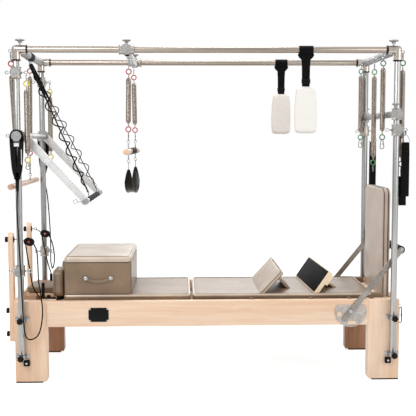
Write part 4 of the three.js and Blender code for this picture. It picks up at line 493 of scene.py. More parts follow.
def worn(name, dark, light, patch, rough, grain, relief, stretch=(1, 1, 1), **shader):
    """A surface whose colour drifts over patches and whose fine grain catches the light.

    patch and grain are the sizes in millimetres of the drift and of the grain, relief the grain's
    height in millimetres, and stretch lengthens both along an axis.
    """
    made = blank(name)
    where = object_space(made, stretch)
    drift = put(made, "TexNoise", {"Vector": where, "Scale": 1000 / patch, "Detail": 4.0})
    fine = put(made, "TexNoise", {"Vector": where, "Scale": 1000 / grain, "Detail": 2.0})
    both = put(made, "Mix", {0: 0.35, 2: drift, 3: fine})
    colour = toned(made, both, 0.36, 0.64, dark, light)
    bump = put(made, "Bump", {"Height": fine, "Strength": 0.6, "Distance": relief / 1000})
    finished(made, colour, both, rough, bump, 0.3, 0.7, **shader)


def lacquered(name, dark, light, grain_axis, rough=(0.34, 0.5)):
    """Lacquered hard maple: broad soft figure along the grain, short dark flecks, a thin clear coat."""
    made = blank(name)
    where = object_space(made, [0.055 if axis == grain_axis else 1 for axis in "xyz"])
    bend = put(made, "TexNoise", {"Vector": where, "Scale": 9.0, "Detail": 2.0})
    soft = {"Scale": 34.0, "Detail": 5.0, "Roughness": 0.62, "Distortion": 1.1}
    figure = put(made, "TexNoise", {"Vector": where, **soft})
    flecks = put(made, "TexNoise", {"Vector": where, "Scale": 420.0, "Detail": 3.0})
    tone = toned(made, put(made, "Mix", {0: 0.45, 2: figure, 3: bend}), 0.36, 0.62, dark, light)
    streak = put(made, "MapRange", {"Value": flecks, "From Min": 0.56, "From Max": 0.74, "To Max": 0.42})
    colour = put(made, "MixRGB", {"Fac": streak, "Color1": tone, "Color2": rgb(dark)})
    bump = put(made, "Bump", {"Height": flecks, "Strength": 0.25, "Distance": 0.0002})
    finished(made, colour, figure, rough, bump, Coat_Weight=0.18, Coat_Roughness=0.22)


def upholstery(name, dark, light, rough=(0.34, 0.46), pebble=2.4, coat=0.22):
    """Faux leather: a pebbled grain with darker pores, slow shading where it is stretched.

    The real pebble is about 1 mm, drawn at more than twice that so that it shows.
    """
    made = blank(name)
    where = object_space(made)
    cells = put(made, "TexVoronoi", {"Vector": where, "Scale": 1000 / pebble})
    slow = put(made, "TexNoise", {"Vector": where, "Scale": 5.5, "Detail": 4.0})
    creases = put(made, "TexNoise", {"Vector": where, "Scale": 38.0, "Detail": 5.0, "Roughness": 0.6})
    tone = toned(made, slow, 0.34, 0.66, dark, light)
    pores = put(made, "MapRange", {"Value": cells, "From Min": 0.45, "From Max": 0.8, "To Max": 0.35})
    colour = put(made, "MixRGB", {"Fac": pores, "Color1": tone, "Color2": rgb(dark)})
    soft = put(made, "Bump", {"Height": creases, "Strength": 0.3, "Distance": 0.0012})
    pebbles = {"Height": cells, "Strength": 0.35, "Distance": 0.0003, "Normal": soft}
    bump = put(made, "Bump", pebbles, invert=True)
    coated = {"Coat_Weight": coat, "Coat_Roughness": 0.25}
    finished(made, colour, creases, rough, bump, Specular_IOR_Level=0.42, **coated)


def woven(name, dark, light, pitch, turn, rough=(0.6, 0.8), relief=0.5):
    """Woven or braided yarn: two sets of ribs that cross, each a pitch in millimetres apart."""
    made = blank(name)
    where = object_space(made, turn=turn)
    rib = {"Vector": where, "Scale": 314 / pitch, "Distortion": 0.4, "Detail": 1.0}
    warp = put(made, "TexWave", rib, bands_direction="Z").outputs["Fac"]
    weft = put(made, "TexWave", rib, bands_direction="DIAGONAL").outputs["Fac"]
    ribs = put(made, "Math", {0: warp, 1: weft}, operation="MULTIPLY")
    fuzz = put(made, "TexNoise", {"Vector": where, "Scale": 1200.0, "Detail": 2.0})
    blend = put(made, "Mix", {0: 0.3, 2: ribs, 3: fuzz})
    colour = toned(made, blend, 0.0, 1.0, dark, light)
    bump = put(made, "Bump", {"Height": blend, "Strength": 0.7, "Distance": relief / 1000})
    finished(made, colour, blend, rough, bump, Sheen_Weight=0.03, Specular_IOR_Level=0.08)


def fleece(name, dark, light):
    """Sheepskin-like pile: clumps about 9 mm wide, each breaking into fine tufts."""
    made = blank(name)
    where = object_space(made)
    clumps = put(made, "TexNoise", {"Vector": where, "Scale": 110.0, "Detail": 5.0, "Roughness": 0.7})
    tufts = put(made, "TexVoronoi", {"Vector": where, "Scale": 320.0})
    # Painted shade: the pile is darker between its clumps and tufts.
    shade = put(made, "Mix", {0: 0.4, 2: clumps, 3: tufts})
    colour = toned(made, shade, 0.25, 0.6, dark, light)
    bump = put(made, "Bump", {"Height": shade, "Strength": 0.5, "Distance": 0.003})
    finished(made, colour, clumps, (0.8, 1.0), bump, Sheen_Weight=0.4, Sheen_Roughness=0.5)


def make_finishes(colours):
    """Every finish of the table, each named for what the real one is."""
    light, dark = tuple(colours.wood_light), tuple(colours.wood_dark)
    # Hard maple under satin lacquer: creamy, with long faint figure along the board.
    for axis in "xyz":
        lacquered("lacquered_maple_" + axis, dark, light, axis)
    # The back legs stand in their own shade and look redder.
    lacquered("lacquered_maple_shade", "#96643f", "#b98560", "z")
    # The same maple, oiled by hands: pinker and a little glossier.
    lacquered("handled_maple", "#b08266", "#d4aa8e", "y", (0.26, 0.42))
    # Pale turned maple of the trapeze bar.
    lacquered("bar_maple", "#d8ab90", "#f0cfb6", "y", (0.3, 0.44))
    # Pale plywood of the grip board.
    lacquered("pale_plywood", "#dfc6a4", "#f0dfc6", "y")
    # Dark maple of the board and tabs under the mat: painted shade, where the mat shades them.
    lacquered("painted_shade_maple", "#4a3020", "#7a5438", "y", (0.4, 0.55))
    # Taupe faux leather: satin, dark where seen square on, pale where the light grazes it.
    upholstery("taupe_leather", tuple(colours.cover_dark), tuple(colours.cover_light))
    # Cream faux leather of the wedge and the jump board.
    upholstery("cream_leather", "#b3a193", "#c6b5a6", (0.42, 0.55), coat=0.15)
    # Rolled edges of the pads, paler than their faces: a painted highlight where the rolls catch the light.
    upholstery("rolled_leather", "#baa793", "#d3c2b0", (0.3, 0.4), coat=0.3)
    # The wedge in the same leather, a shade paler.
    upholstery("wedge_leather", "#aa9a8b", "#c2b3a3", (0.42, 0.55), coat=0.12)
    # Piping cord covered in the same leather, darker: painted shade in the seams it runs along, and dark
    # stitching.
    upholstery("piping_leather", "#463a2f", "#655544", (0.4, 0.55), 1.6, 0.1)
    # Stitched leather of the hand-grip straps on the box.
    upholstery("strap_leather", "#78664f", "#9d8970", (0.4, 0.5), 1.8, 0.1)
    # Brushed aluminium tube: light silver, drawn lines along its length.
    brushed = (1.6, 0.06, (1, 1, 0.03))
    worn("brushed_tube_z", "#828280", "#b1b1af", 26, (0.24, 0.38), *brushed, Metallic=1.0)
    # The back uprights: darker, painted shade, and a little rougher from handling.
    worn("shaded_tube_z", "#787876", "#a3a3a1", 26, (0.28, 0.42), *brushed, Metallic=1.0)
    # The long top rails are warmer, as in the photograph.
    # Painted reflection: the warm brown the rails reflect is painted into their colour.
    brushed = (1.6, 0.06, (0.03, 1, 1))
    worn("brushed_tube_x", "#8a7f76", "#ada399", 26, (0.26, 0.4), *brushed, Metallic=1.0)
    # The end bars and the other cross tubes, a little darker and cooler.
    brushed = (1.6, 0.06, (1, 0.03, 1))
    worn("brushed_tube_y", "#7e7e7f", "#a9a9aa", 26, (0.3, 0.44), *brushed, Metallic=1.0)
    # Polished cast aluminium of the elbows: a warm mirror with soft smears.
    worn("polished_aluminium", "#9d958c", "#c6beb5", 40, (0.1, 0.2), 3, 0.04, Metallic=1.0)
    # Bead-blasted aluminium: even, sandy and dull.
    worn("blasted_aluminium", "#838383", "#a2a2a1", 18, (0.46, 0.6), 1.1, 0.1, Metallic=0.7)
    # Satin sleeves of the clamps: paler and warmer than their discs.
    worn("satin_aluminium", "#989189", "#beb8af", 24, (0.3, 0.44), 1.4, 0.08, Metallic=0.9)
    # Machined rim of the knurled discs.
    worn("machined_aluminium", "#808080", "#adaeae", 12, (0.22, 0.34), 1.4, 0.05, Metallic=1.0)
    # White powder-coated flat bars, hardly glossy.
    worn("satin_white_coat", "#d3d2d1", "#e6e5e4", 40, (0.38, 0.5), 1.4, 0.05)
    # Brushed grey-brown flat bars of the footbar.
    brushed = (1.6, 0.08, (0.2, 1, 0.2))
    worn("brushed_flat", "#76706a", "#a09a92", 22, (0.34, 0.5), *brushed, Metallic=0.75)
    # Bead-blasted plate.
    worn("blasted_plate", "#97908a", "#c0b9b2", 24, (0.44, 0.58), 1.2, 0.08, Metallic=0.6)
    # Bright chrome: near mirror.
    worn("bright_chrome", "#85868a", "#b5b6b8", 30, (0.14, 0.24), 2.5, 0.02, Metallic=1.0)
    # Snap hooks: zinc plated, darker between their rubbed edges.
    worn("zinc_plate", "#5c5a58", "#92908d", 12, (0.22, 0.34), 1.5, 0.03, Metallic=1.0)
    # Plated spring wire: warm grey, its edges rubbed bright.
    worn("plated_wire", "#75695f", "#b8aca0", 9, (0.28, 0.42), 1.5, 0.04, Metallic=0.85)
    # Glossy painted rings that tell the springs' strength apart.
    for name, deep, bright in (
        ("red_paint", "#9c0c18", "#c81c28"), ("yellow_paint", "#d2ba18", "#ecdb33"),
        ("green_paint", "#1c6e32", "#338a3f"), ("sea_green_paint", "#136a50", "#23805f"),
    ):
        worn(name, deep, bright, 10, (0.2, 0.32), 2, 0.04)
    # Moulded nylon: near black with a faint moulding grain.
    worn("moulded_nylon", "#030304", "#0a0a0b", 14, (0.34, 0.48), 1.5, 0.08, Specular_IOR_Level=0.16)
    # Soft black rubber: dull.
    worn("black_rubber", "#040404", "#0b0b0b", 16, (0.5, 0.66), 1.2, 0.12, Specular_IOR_Level=0.12)
    # The grip board's face: dull sheet rubber.
    worn("sheet_rubber", "#020202", "#060607", 26, (0.55, 0.7), 1.4, 0.12, Specular_IOR_Level=0.06)
    # The name plate, left bare: black anodised sheet. The same black, in the push arms' holes, is painted
    # shade.
    worn("black_anodised_and_hole_shade", "#030304", "#09090a", 30, (0.36, 0.46), 1.6, 0.04, Specular_IOR_Level=0.14)
    # Glossy black vinyl of the sling.
    worn("black_vinyl", "#020203", "#080809", 30, (0.28, 0.4), 2.4, 0.2, Specular_IOR_Level=0.2)
    # Polyester webbing: ribbed across, black with greyish high points.
    woven("black_webbing", "#020203", "#0b0b0c", 3.2, (0.0, 0.6, 0.0))
    # Braided rope: dark with a crossing braid.
    woven("braided_rope", "#020203", "#101011", 3.6, (0.7, 0.7, 0.0), relief=0.9)
    # Stretch cord with a smooth woven jacket.
    woven("jacketed_cord", "#020203", "#080809", 2.4, (0.7, 0.0, 0.7), (0.42, 0.55), 0.3)
    # Long-pile fleece: off white, deep soft tufts with painted shade between them.
    fleece("white_fleece", "#e6e2db", "#f2efe9")
    # The back loop's pile is a little yellower.
    fleece("sand_fleece", "#ded5cc", "#efe9e2")


def clamp_shell(piece, centre, axis, outward, tall=67):
    """A clamp's lipped collar, its knurled locking disc and the boss between them."""
    half = tall / 2
    lip = [(28.4, half - 7), (31, half - 4.6), (31, half - 1.4), (29.6, half), (19.8, half)]
    profile = [(radius, -height) for radius, height in lip[::-1]] + lip + [(19.8, -half)]
    piece.use("satin_aluminium").turned(profile, centre, axis)
    piece.use("machined_aluminium").turned([(0, 26), (11, 26), (11, 39.5), (13, 40.2)], centre, outward, 24)
    piece.use("blasted_aluminium")
    knurled(piece, centre, outward, 30, 40, 52)


def knurled(piece, centre, direction, radius, start, end):
    """A round grip with fine ribs on its rim and a dished face."""
    shape = bmesh.new()
    middle = Matrix.Translation((0, 0, (start + end) / 2))
    bmesh.ops.create_cone(
        shape, cap_ends=True, segments=72, radius1=radius, radius2=radius, depth=end - start, matrix=middle
    )
    ease_edges(shape, cap_rims(shape), 1.6, 2)
    for vert in shape.verts:
        turn = atan2(vert.co.y, vert.co.x)
        if Vector(vert.co.xy).length > radius - 0.8:
            vert.co.xy = vert.co.xy * (1 - (0.035 if round(turn * 72 / tau) % 2 else 0))
    caps = [face for face in shape.faces if len(face.verts) > 8]
    for thickness, depth in ((6, -1.2), (5, 0.8)):
        bmesh.ops.inset_individual(shape, faces=caps, thickness=thickness, depth=depth)
    piece.take(shape, aimed(centre, direction))


def clamp_eye(piece, centre, way):
    """An eye bolt out of a clamp's side."""
    direction = X * way
    piece.use("bright_chrome").eye(centre + direction * 27, centre + direction * 57, direction, Z, X)
    piece.rod(centre + direction * 28, centre + direction * 33, 7.5, 0.8, 6)


KNOB_SHARES = (
    (0, 0), (0.7, -0.5), (0.94, -2.4), (1, -5), (1, -8), (0.9, -10), (0.5, -12), (0.36, -22), (0, -22)
)


def flat_knob(piece, centre, low, high, reach=28.5):
    """A flat round knob on a screw that stands up from its centre."""
    piece.use("bright_chrome").rod(centre + Z * low, centre + Z * (high - 9), 7, 0.6, 24)
    profile = [(reach * across, high + down) for across, down in KNOB_SHARES]
    piece.use("blasted_aluminium").turned(profile, centre, Z, 48)


def shown_rays(made):
    """1 for rays from the camera, off gloss or through glass, and 0 for the rest."""
    path = put(made, "LightPath").outputs
    seen = put(made, "Math", {0: path["Is Camera Ray"], 1: path["Is Glossy Ray"]}, operation="MAXIMUM")
    return put(made, "Math", {0: seen, 1: path["Is Transmission Ray"]}, operation="MAXIMUM")


class MakeStage(bpy.types.Operator):
    """Makes the pale floor, the soft lamps, the white surround and the camera"""

    bl_idname = "trapeze_table.stage"
    bl_label = "Stage and camera"

    def execute(self, context):
        scene = context.scene
        scene.view_settings.view_transform = "Standard"
        self.white_surround(scene)
        self.pale_floor(scene.table_sizes.floor_reach)
        for name, place, size, power in (
            ("key_lamp", (-2.6, -3.6, 4.0), 2.4, 118), ("fill_lamp", (3.6, -3.2, 2.6), 3.0, 58),
            ("top_lamp", (0.2, 0.6, 4.6), 2.0, 74), ("back_lamp", (0.5, 4.2, 2.8), 3.0, 40),
        ):
            lamp = bpy.data.lights.new(name, "AREA")
            lamp.shape = "DISK"
            lamp.size = size
            lamp.energy = power
            holder = bpy.data.objects.new(name, lamp)
            holder.location = place
            aim = Vector((0, 0, 0.9)) - Vector(place)
            holder.rotation_euler = aim.to_track_quat("-Z", "Y").to_euler()
            scene.collection.objects.link(holder)
        self.camera(scene)
        return {"FINISHED"}

    def white_surround(self, scene):
        world = bpy.data.worlds.new("white_surround")
        world.use_nodes = True
        world.node_tree.nodes.clear()
        strength = put(world, "MapRange", {"Value": shown_rays(world), "To Min": 0.5, "To Max": 1.0})
        light = put(world, "Background", {"Color": (1, 1, 1, 1), "Strength": strength})
        put(world, "OutputWorld", {"Surface": light})
        scene.world = world

    def pale_floor(self, reach):
        made = blank("pale_floor")
        specks = put(made, "TexNoise", {"Vector": object_space(made), "Scale": 30.0})
        tones = {"Color1": rgb("#e6e6e6"), "Color2": rgb("#eaeaea")}
        plain = put(made, "BsdfDiffuse", {"Color": put(made, "MixRGB", {"Fac": specks, **tones})})
        glow = put(made, "Emission", {"Color": (1, 1, 1, 1), "Strength": 0.78})
        lit = put(made, "BsdfDiffuse", {"Color": rgb("#cfcfcf")})
        bright = put(made, "AddShader", {0: glow, 1: lit})
        both = put(made, "MixShader", {"Fac": shown_rays(made), 1: plain, 2: bright})
        put(made, "OutputMaterial", {"Surface": both})
        shape = bmesh.new()
        bmesh.ops.create_grid(shape, x_segments=2, y_segments=2, size=reach)
        data = bpy.data.meshes.new("floor")
        shape.to_mesh(data)
        shape.free()
        data.materials.append(made)
        floor = bpy.data.objects.new("floor", data)
        bpy.context.scene.collection.objects.link(floor)

    def camera(self, scene):
        """The camera solved from the photograph: its place, then its turns about Z, X and Z."""
        lens = bpy.data.cameras.new("camera")
        lens.sensor_width = 36
        lens.lens = 72.508
        view = bpy.data.objects.new("camera", lens)
        view.matrix_world = Matrix.Translation((-0.128065, -5.42197, 1.48702))
        for turn, axis in ((-0.0291195, "Z"), (pi / 2 - 0.0838433, "X"), (-0.00139325, "Z")):
            view.matrix_world = view.matrix_world @ Matrix.Rotation(turn, 4, axis)
        scene.collection.objects.link(view)
        scene.camera = view


class MakeCords(bpy.types.Operator):
    """Makes the two ropes with their hand loops and the push-through bar's lines and curly cords"""

    bl_idname = "trapeze_table.cords"
    bl_label = "Ropes and cords"

    # From the carriage's posts over the pulleys and up to the clamps on the uprights.
    FRONT_ROUTE = (
        (-1029.3, -300, 488), (-1040, -300, 512), (-1074, -300, 572), (-1090, -300, 666),
        (-1114, -300, 830), (-1114, -300, 853), (-1109, -300, 868), (-1094, -300, 874), (-1079, -300, 868),
        (-1073, -300, 853), (-1050, -300, 802), (-1043, -300, 709), (-1032, -345, 615), (-1008, -415, 545),
        (-998, -430, 420), (-1028, -430, 300), (-1068, -440, 278), (-1090, -475, 304), (-1098, -500, 396),
        (-1106, -502, 640), (-1118, -496, 895), (-1126, -486, 1080), (-1123.5, -469, 1190),
    )
    BACK_ROUTE = (
        (-1058, 300, 561.9), (-1076, 300, 620), (-1114, 300, 812), (-1114, 300, 835), (-1109, 300, 850),
        (-1094, 300, 856), (-1079, 300, 850), (-1073, 300, 835), (-1045, 300, 763), (-1034, 302, 660),
        (-1052, 335, 590), (-1074, 400, 620), (-1085, 470, 720), (-1092, 502, 840), (-1108, 484, 1110),
        (-1123.5, 469, 1190),
    )

    # Half a hand loop: how far out of the upright's axis, and how high.
    LOOP_HALF = (
        (0, 1537), (28, 1526), (40, PUSH_Z), (38, 1430), (33, 1345), (27, 1290), (16, 1252), (9, 1232),
        (0, 1226),
    )

    def execute(self, context):
        sizes = context.scene.table_sizes
        for side, way in SIDES:
            self.rope(side, way, sizes.rope_width * 1000)
            self.push_line(side, way)
        return {"FINISHED"}

    def cord(self, piece, points, width, ends, lay, node=(), slot="black_cord", trim=()):
        """Sweeps a cord along its route."""
        piece.wire(points, width / 2, fine=2)
        made = piece.done(None, slot, *node)
        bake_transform(made)

    def rope(self, side, way, width):
        points = [at(*p) for p in (self.FRONT_ROUTE if way < 0 else self.BACK_ROUTE)]
        start, end = points[0], at(-1073, way * 300, 853 if way < 0 else 835)
        ends = ("carriage", "table_frame", start, end)
        piece = Piece("rope_tube_" + side, "braided_rope")
        self.hand_loop(side, way)
        self.cord(piece, smooth_route(points, 6), width, ends, "loose", ("rope_" + side,), "black_rope")

    def hand_loop(self, side, way):
        """A padded webbing loop on the disc of the push bar's clamp, with a bare tab sewn to it."""
        y = 470.5 * way
        piece = Piece("hand_loop_" + side, "black_webbing")
        half = [at(HEAD_X + x, y, z) for x, z in self.LOOP_HALF]
        outline = half + [at(2 * HEAD_X - p.x, y, p.z) for p in half[-2:0:-1]]
        line = smooth_route(outline, 5, closed=True)
        piece.ribbon(line, Y, 9, 22, closed=True, ease=1)
        piece.use("black_rubber")
        grip = [point for point in line if 1246 < point.z < 1462]
        grip.sort(key=lambda point: atan2(point.x - HEAD_X, 1500 - point.z))
        piece.ribbon(grip, Y, 24, 30, ease=3)
        piece.use("satin_white_coat")
        front = y + 13 * way
        piece.block((HEAD_X - 14, HEAD_X + 16), (front - 2, front + 2), (1436, 1456), 1.2)
        piece.block((HEAD_X + 27, HEAD_X + 31), (front - 2, front + 1.5), (1330, 1420), 0.8)
        piece.use("black_rubber").turned(
            [(0, 0), (6, 0), (7.5, 3), (9, 30), (11, 66), (0, 66)], at(HEAD_X, y, 1172), Z, 24
        )
        loop = piece.done("table_frame", "black_rope")

    def push_line(self, side, way):
        top = at(HEAD_X, 30 + way * 6.6, 1956.2)
        eye = at(GRIP_X, way * 240, LINE_EYE_Z)
        direction = (eye - top).normalized()
        bottom = eye - direction * 10.8
        line = [top.lerp(bottom, i / 24) for i in range(25)]
        ends = ("table_frame", "push_through_bar", top, bottom)
        trim = Piece("push_band_" + side, "black_webbing")
        lean = direction.cross(Y).normalized().lerp(X, 0.2).normalized()
        band = [top.lerp(bottom, 0.32 * i / 8) for i in range(9)]
        trim.ribbon(band, lean, [26, 26, 25, 23, 20, 17, 14, 11, 8], 3, ease=0.8)
        trim.use("bright_chrome").ring(
            bottom - direction * 2, direction, direction.orthogonal().normalized(), 7, 2
        )
        band = trim.done(None, "black_cord")
        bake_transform(band)
        piece = Piece("push_line_" + side, "jacketed_cord")
        wide = 9.2 if way < 0 else 6
        self.cord(piece, line, wide, ends, "taut", ("push_bar_cord_" + side,), trim=[band])
        self.curl(side, way, ends)

    def curl(self, side, way, ends):
        """The loose curly cord that winds round the line."""
        top, bottom = ends[2:]
        axis = bottom - top
        over = axis.normalized().cross(Y).normalized()
        across = axis.normalized().cross(over)
        turns, steps = 8, 14
        points = []
        for i in range(turns * steps + 1):
            share = i / (turns * steps)
            centre = top + axis * (0.03 + 0.94 * share)
            reach = 4 + 22 * min(1, share * 6, (1 - share) * 9) * (1 - 0.2 * share)
            turn = tau * turns * share + way
            points.append(centre + over * reach * cos(turn) + across * reach * sin(turn))
        piece = Piece("curly_cord_" + side, "jacketed_cord")
        self.cord(piece, points, 8.4 if way < 0 else 6, ends, "coiled")


class MakeTimber(bpy.types.Operator):
    """Makes the four legs with their brackets, and gives the rails, tracks and end boards their wood"""

    bl_idname = "trapeze_table.timber"
    bl_label = "Legs, rails and end boards"

    def execute(self, context):
        for end, end_way in ENDS:
            for side, way in SIDES:
                self.leg(end, end_way, side, way)
        for side, way in SIDES:
            self.rail(side, way)
        self.head_frame()
        self.foot_rail()
        return {"FINISHED"}

    def leg(self, end, end_way, side, way):
        wood = "lacquered_maple_z" if way < 0 else "lacquered_maple_shade"
        piece = Piece("timber_leg_%s_%s" % (end, side), wood)
        face, back = way * WOOD_FACE, way * (WOOD_FACE - 70)
        outer, inner = end_way * LEG_OUTER, end_way * LEG_INNER
        corner = arc(at(inner + end_way * 14, face, 22), X * -end_way, DOWN, 14, 0, 0.25, 7)
        outline = [at(outer, face, 8), at(outer, face, RAIL_TOP), at(inner, face, RAIL_TOP)] + corner
        piece.board(outline, (0, back - face, 0), 2.2, 3)
        piece.use("black_rubber").block(
            (outer - end_way * 2, inner + end_way * 27), (face - way, back + way), (0, 9), 1
        )
        axis = end_way * FOOT_X
        piece.use(wood).block((axis - 45, axis + 45), (face - way, face + way * 6), (155, 407), 1.6)
        stop = axis - end_way * 22
        piece.use("black_rubber").block(
            (stop - 18, stop + 18), (face - way, face + way * 20), (108, 143), 3.5, segments=3
        )
        piece.use("bright_chrome").turned(
            [(0, 21.9), (4.5, 21.6), (7, 20.4), (7, 19)], at(stop, face, 125.5), Y * way, 24
        )
        for height in (397, 170):
            self.bracket(piece, axis, way, height)
        piece.done("table_frame", "maple_wood", "leg_%s_%s" % (end, side))

    def bracket(self, piece, x, way, height):
        """A pressed saddle round the upright with its two screwed tabs and a star knob."""
        piece.use("machined_aluminium")
        y, tab = way * GAUGE_Y, way * 406
        bend = arc(at(x, y, height), X, Y * way, 24.3, 0, 0.5, 16)
        route = [at(x + 43, tab + way * 1.6, height), at(x + 25.4, tab + way * 1.6, height)]
        route += bend + [at(x - 25.4, tab + way * 1.6, height), at(x - 43, tab + way * 1.6, height)]
        piece.ribbon(route, Z, 27, -3.2 * way, ease=0.6)
        piece.use("bright_chrome")
        for offset in (-34, 34):
            piece.turned([(0, 4.6), (2.6, 4.4), (4, 3.2), (4, 2)], at(x + offset, tab, height), Y * way, 16)
        piece.crossbar(x, (y + way * 23, way * 478), height, 6, 0.6, 20)
        piece.use("moulded_nylon")
        self.star(piece, at(x, way * 477.3, height), Y * way)

    def star(self, piece, centre, direction):
        """A seven-lobed knob with a cap."""
        shape = bmesh.new()
        rim = []
        for i in range(84):
            turn = tau * i / 84
            reach = 18.5 * (1 + 0.1 * cos(7 * turn))
            rim.append(shape.verts.new((reach * cos(turn), reach * sin(turn), 0)))
        near = shape.faces.new(rim)
        pulled = bmesh.ops.extrude_face_region(shape, geom=[near])["geom"]
        bmesh.ops.translate(shape, vec=(0, 0, 14), verts=only(pulled, bmesh.types.BMVert))
        caps = [face for face in shape.faces if len(face.verts) > 4]
        rims = [edge for edge in shape.edges if any(f in caps for f in edge.link_faces)]
        ease_edges(shape, rims, 2.2, 3)
        piece.take(shape, aimed(centre, direction))
        piece.turned([(0, 15.4), (6.5, 15), (8, 13.8), (8, 12)], centre, direction, 24)

    def rail(self, side, way):
        piece = Piece("timber_rail_" + side, "lacquered_maple_x")
        face, inner = way * 400, way * 355
        reach = LEG_INNER - 0.3
        piece.block((-reach, reach), (inner, face), (344, 500), 2.4, segments=3)
        piece.use("brushed_tube_x").block((-reach, reach), (way * 330, inner + way), (430, 436), 0.8)
        piece.block((-reach, reach), (way * 330, way * 335), (424, 436), 0.8)
        piece.use("bright_chrome")
        for x in (-905, -560, -200, 200, 560, 905):
            piece.turned([(0, 1.8), (4, 1.6), (6.5, 0.4), (6.5, -1)], at(x, inner, 470), Y * -way, 20)
        piece.done("table_frame", "maple_wood", "side_rail_" + side)
        if way < 0:
            self.name_plate()

    def name_plate(self):
        """The plate on the front rail, left bare: black sheet with four small screws."""
        piece = Piece("bare_plate", "black_anodised_and_hole_shade")
        x0, x1, z0, z1 = -726, -604, 374.5, 461
        outline = rounded((x0, x1), (z0, z1), 20, -Y * 400.2, Z)
        piece.board(outline, (0, -1.6, 0), 0.5)
        piece.use("satin_white_coat")
        for x in (x0 + 9, x1 - 9):
            for z in (z0 + 9, z1 - 9):
                piece.turned([(0, 3.1), (2.6, 2.9), (4, 1.6)], at(x, -400, z), -Y, 16)
        piece.done("table_frame", "grey_plate")

    def head_frame(self):
        piece = Piece("head_board", "lacquered_maple_y")
        piece.block((-1187.8, -1171.8), (-334, 334), (240, 500), 2.2, segments=3)
        for way in (-1, 1):
            y = way * 300
            piece.use("lacquered_maple_z")
            top = arc(at(-1217, y, 882), Y, Z, 30, 0, 0.5, 24)
            outline = [at(-1217, y + 30, 240)] + top + [at(-1217, y - 30, 240)]
            piece.board(outline, (29.6, 0, 0), 4.5, 4)
            piece.use("moulded_nylon")
            for x, turn in ((-1217, -1), (-1187.8, 1)):
                piece.turned(
                    [(0, 4), (17, 4), (19.4, 3), (20, 1.6), (20, -0.5)], at(x, y, 868), X * turn, 32
                )
            for height in (868, 428, 283):
                piece.turned(
                    [(0, 22), (13, 22), (17, 20.4), (18, 17.5), (17, 8), (11, 5.5), (10, -0.5)],
                    at(-1217, y, height), -X, 32,
                )
            piece.use("bright_chrome").eye(at(-1184.5, y, 868), at(-1159.8, y, 868), X, X, Z)
        piece.done("table_frame", "maple_wood", "head_frame")

    def foot_rail(self):
        piece = Piece("foot_board", "lacquered_maple_y")
        piece.block((1141.5, 1171.5), (-329.7, 329.7), (344, 500), 2.2, segments=3)
        piece.block((1059.5, 1142.5), (-258, 258), (470, 490), 2)
        piece.use("bright_chrome")
        for y in (-280, -120, 120, 280):
            piece.turned([(0, 2.4), (5, 2.2), (8, 0.6), (8, -1)], at(1171.5, y, 380), X, 24)
        piece.done("table_frame", "maple_wood", "foot_rail")
        trim = Piece("spare_clip", "bright_chrome")
        trim.rod(at(1170, -314, 442), at(1190, -314, 442), 4, 0.5, 16)
        trim.ring(at(1199, -314, 442), X, Z, 9, 2.4)
        trim.use("moulded_nylon").link(at(1199, -314, 425), at(1199, -314, 345), DOWN, X, 7, 3.4, 8)
        trim.done("table_frame", "pulley_body")


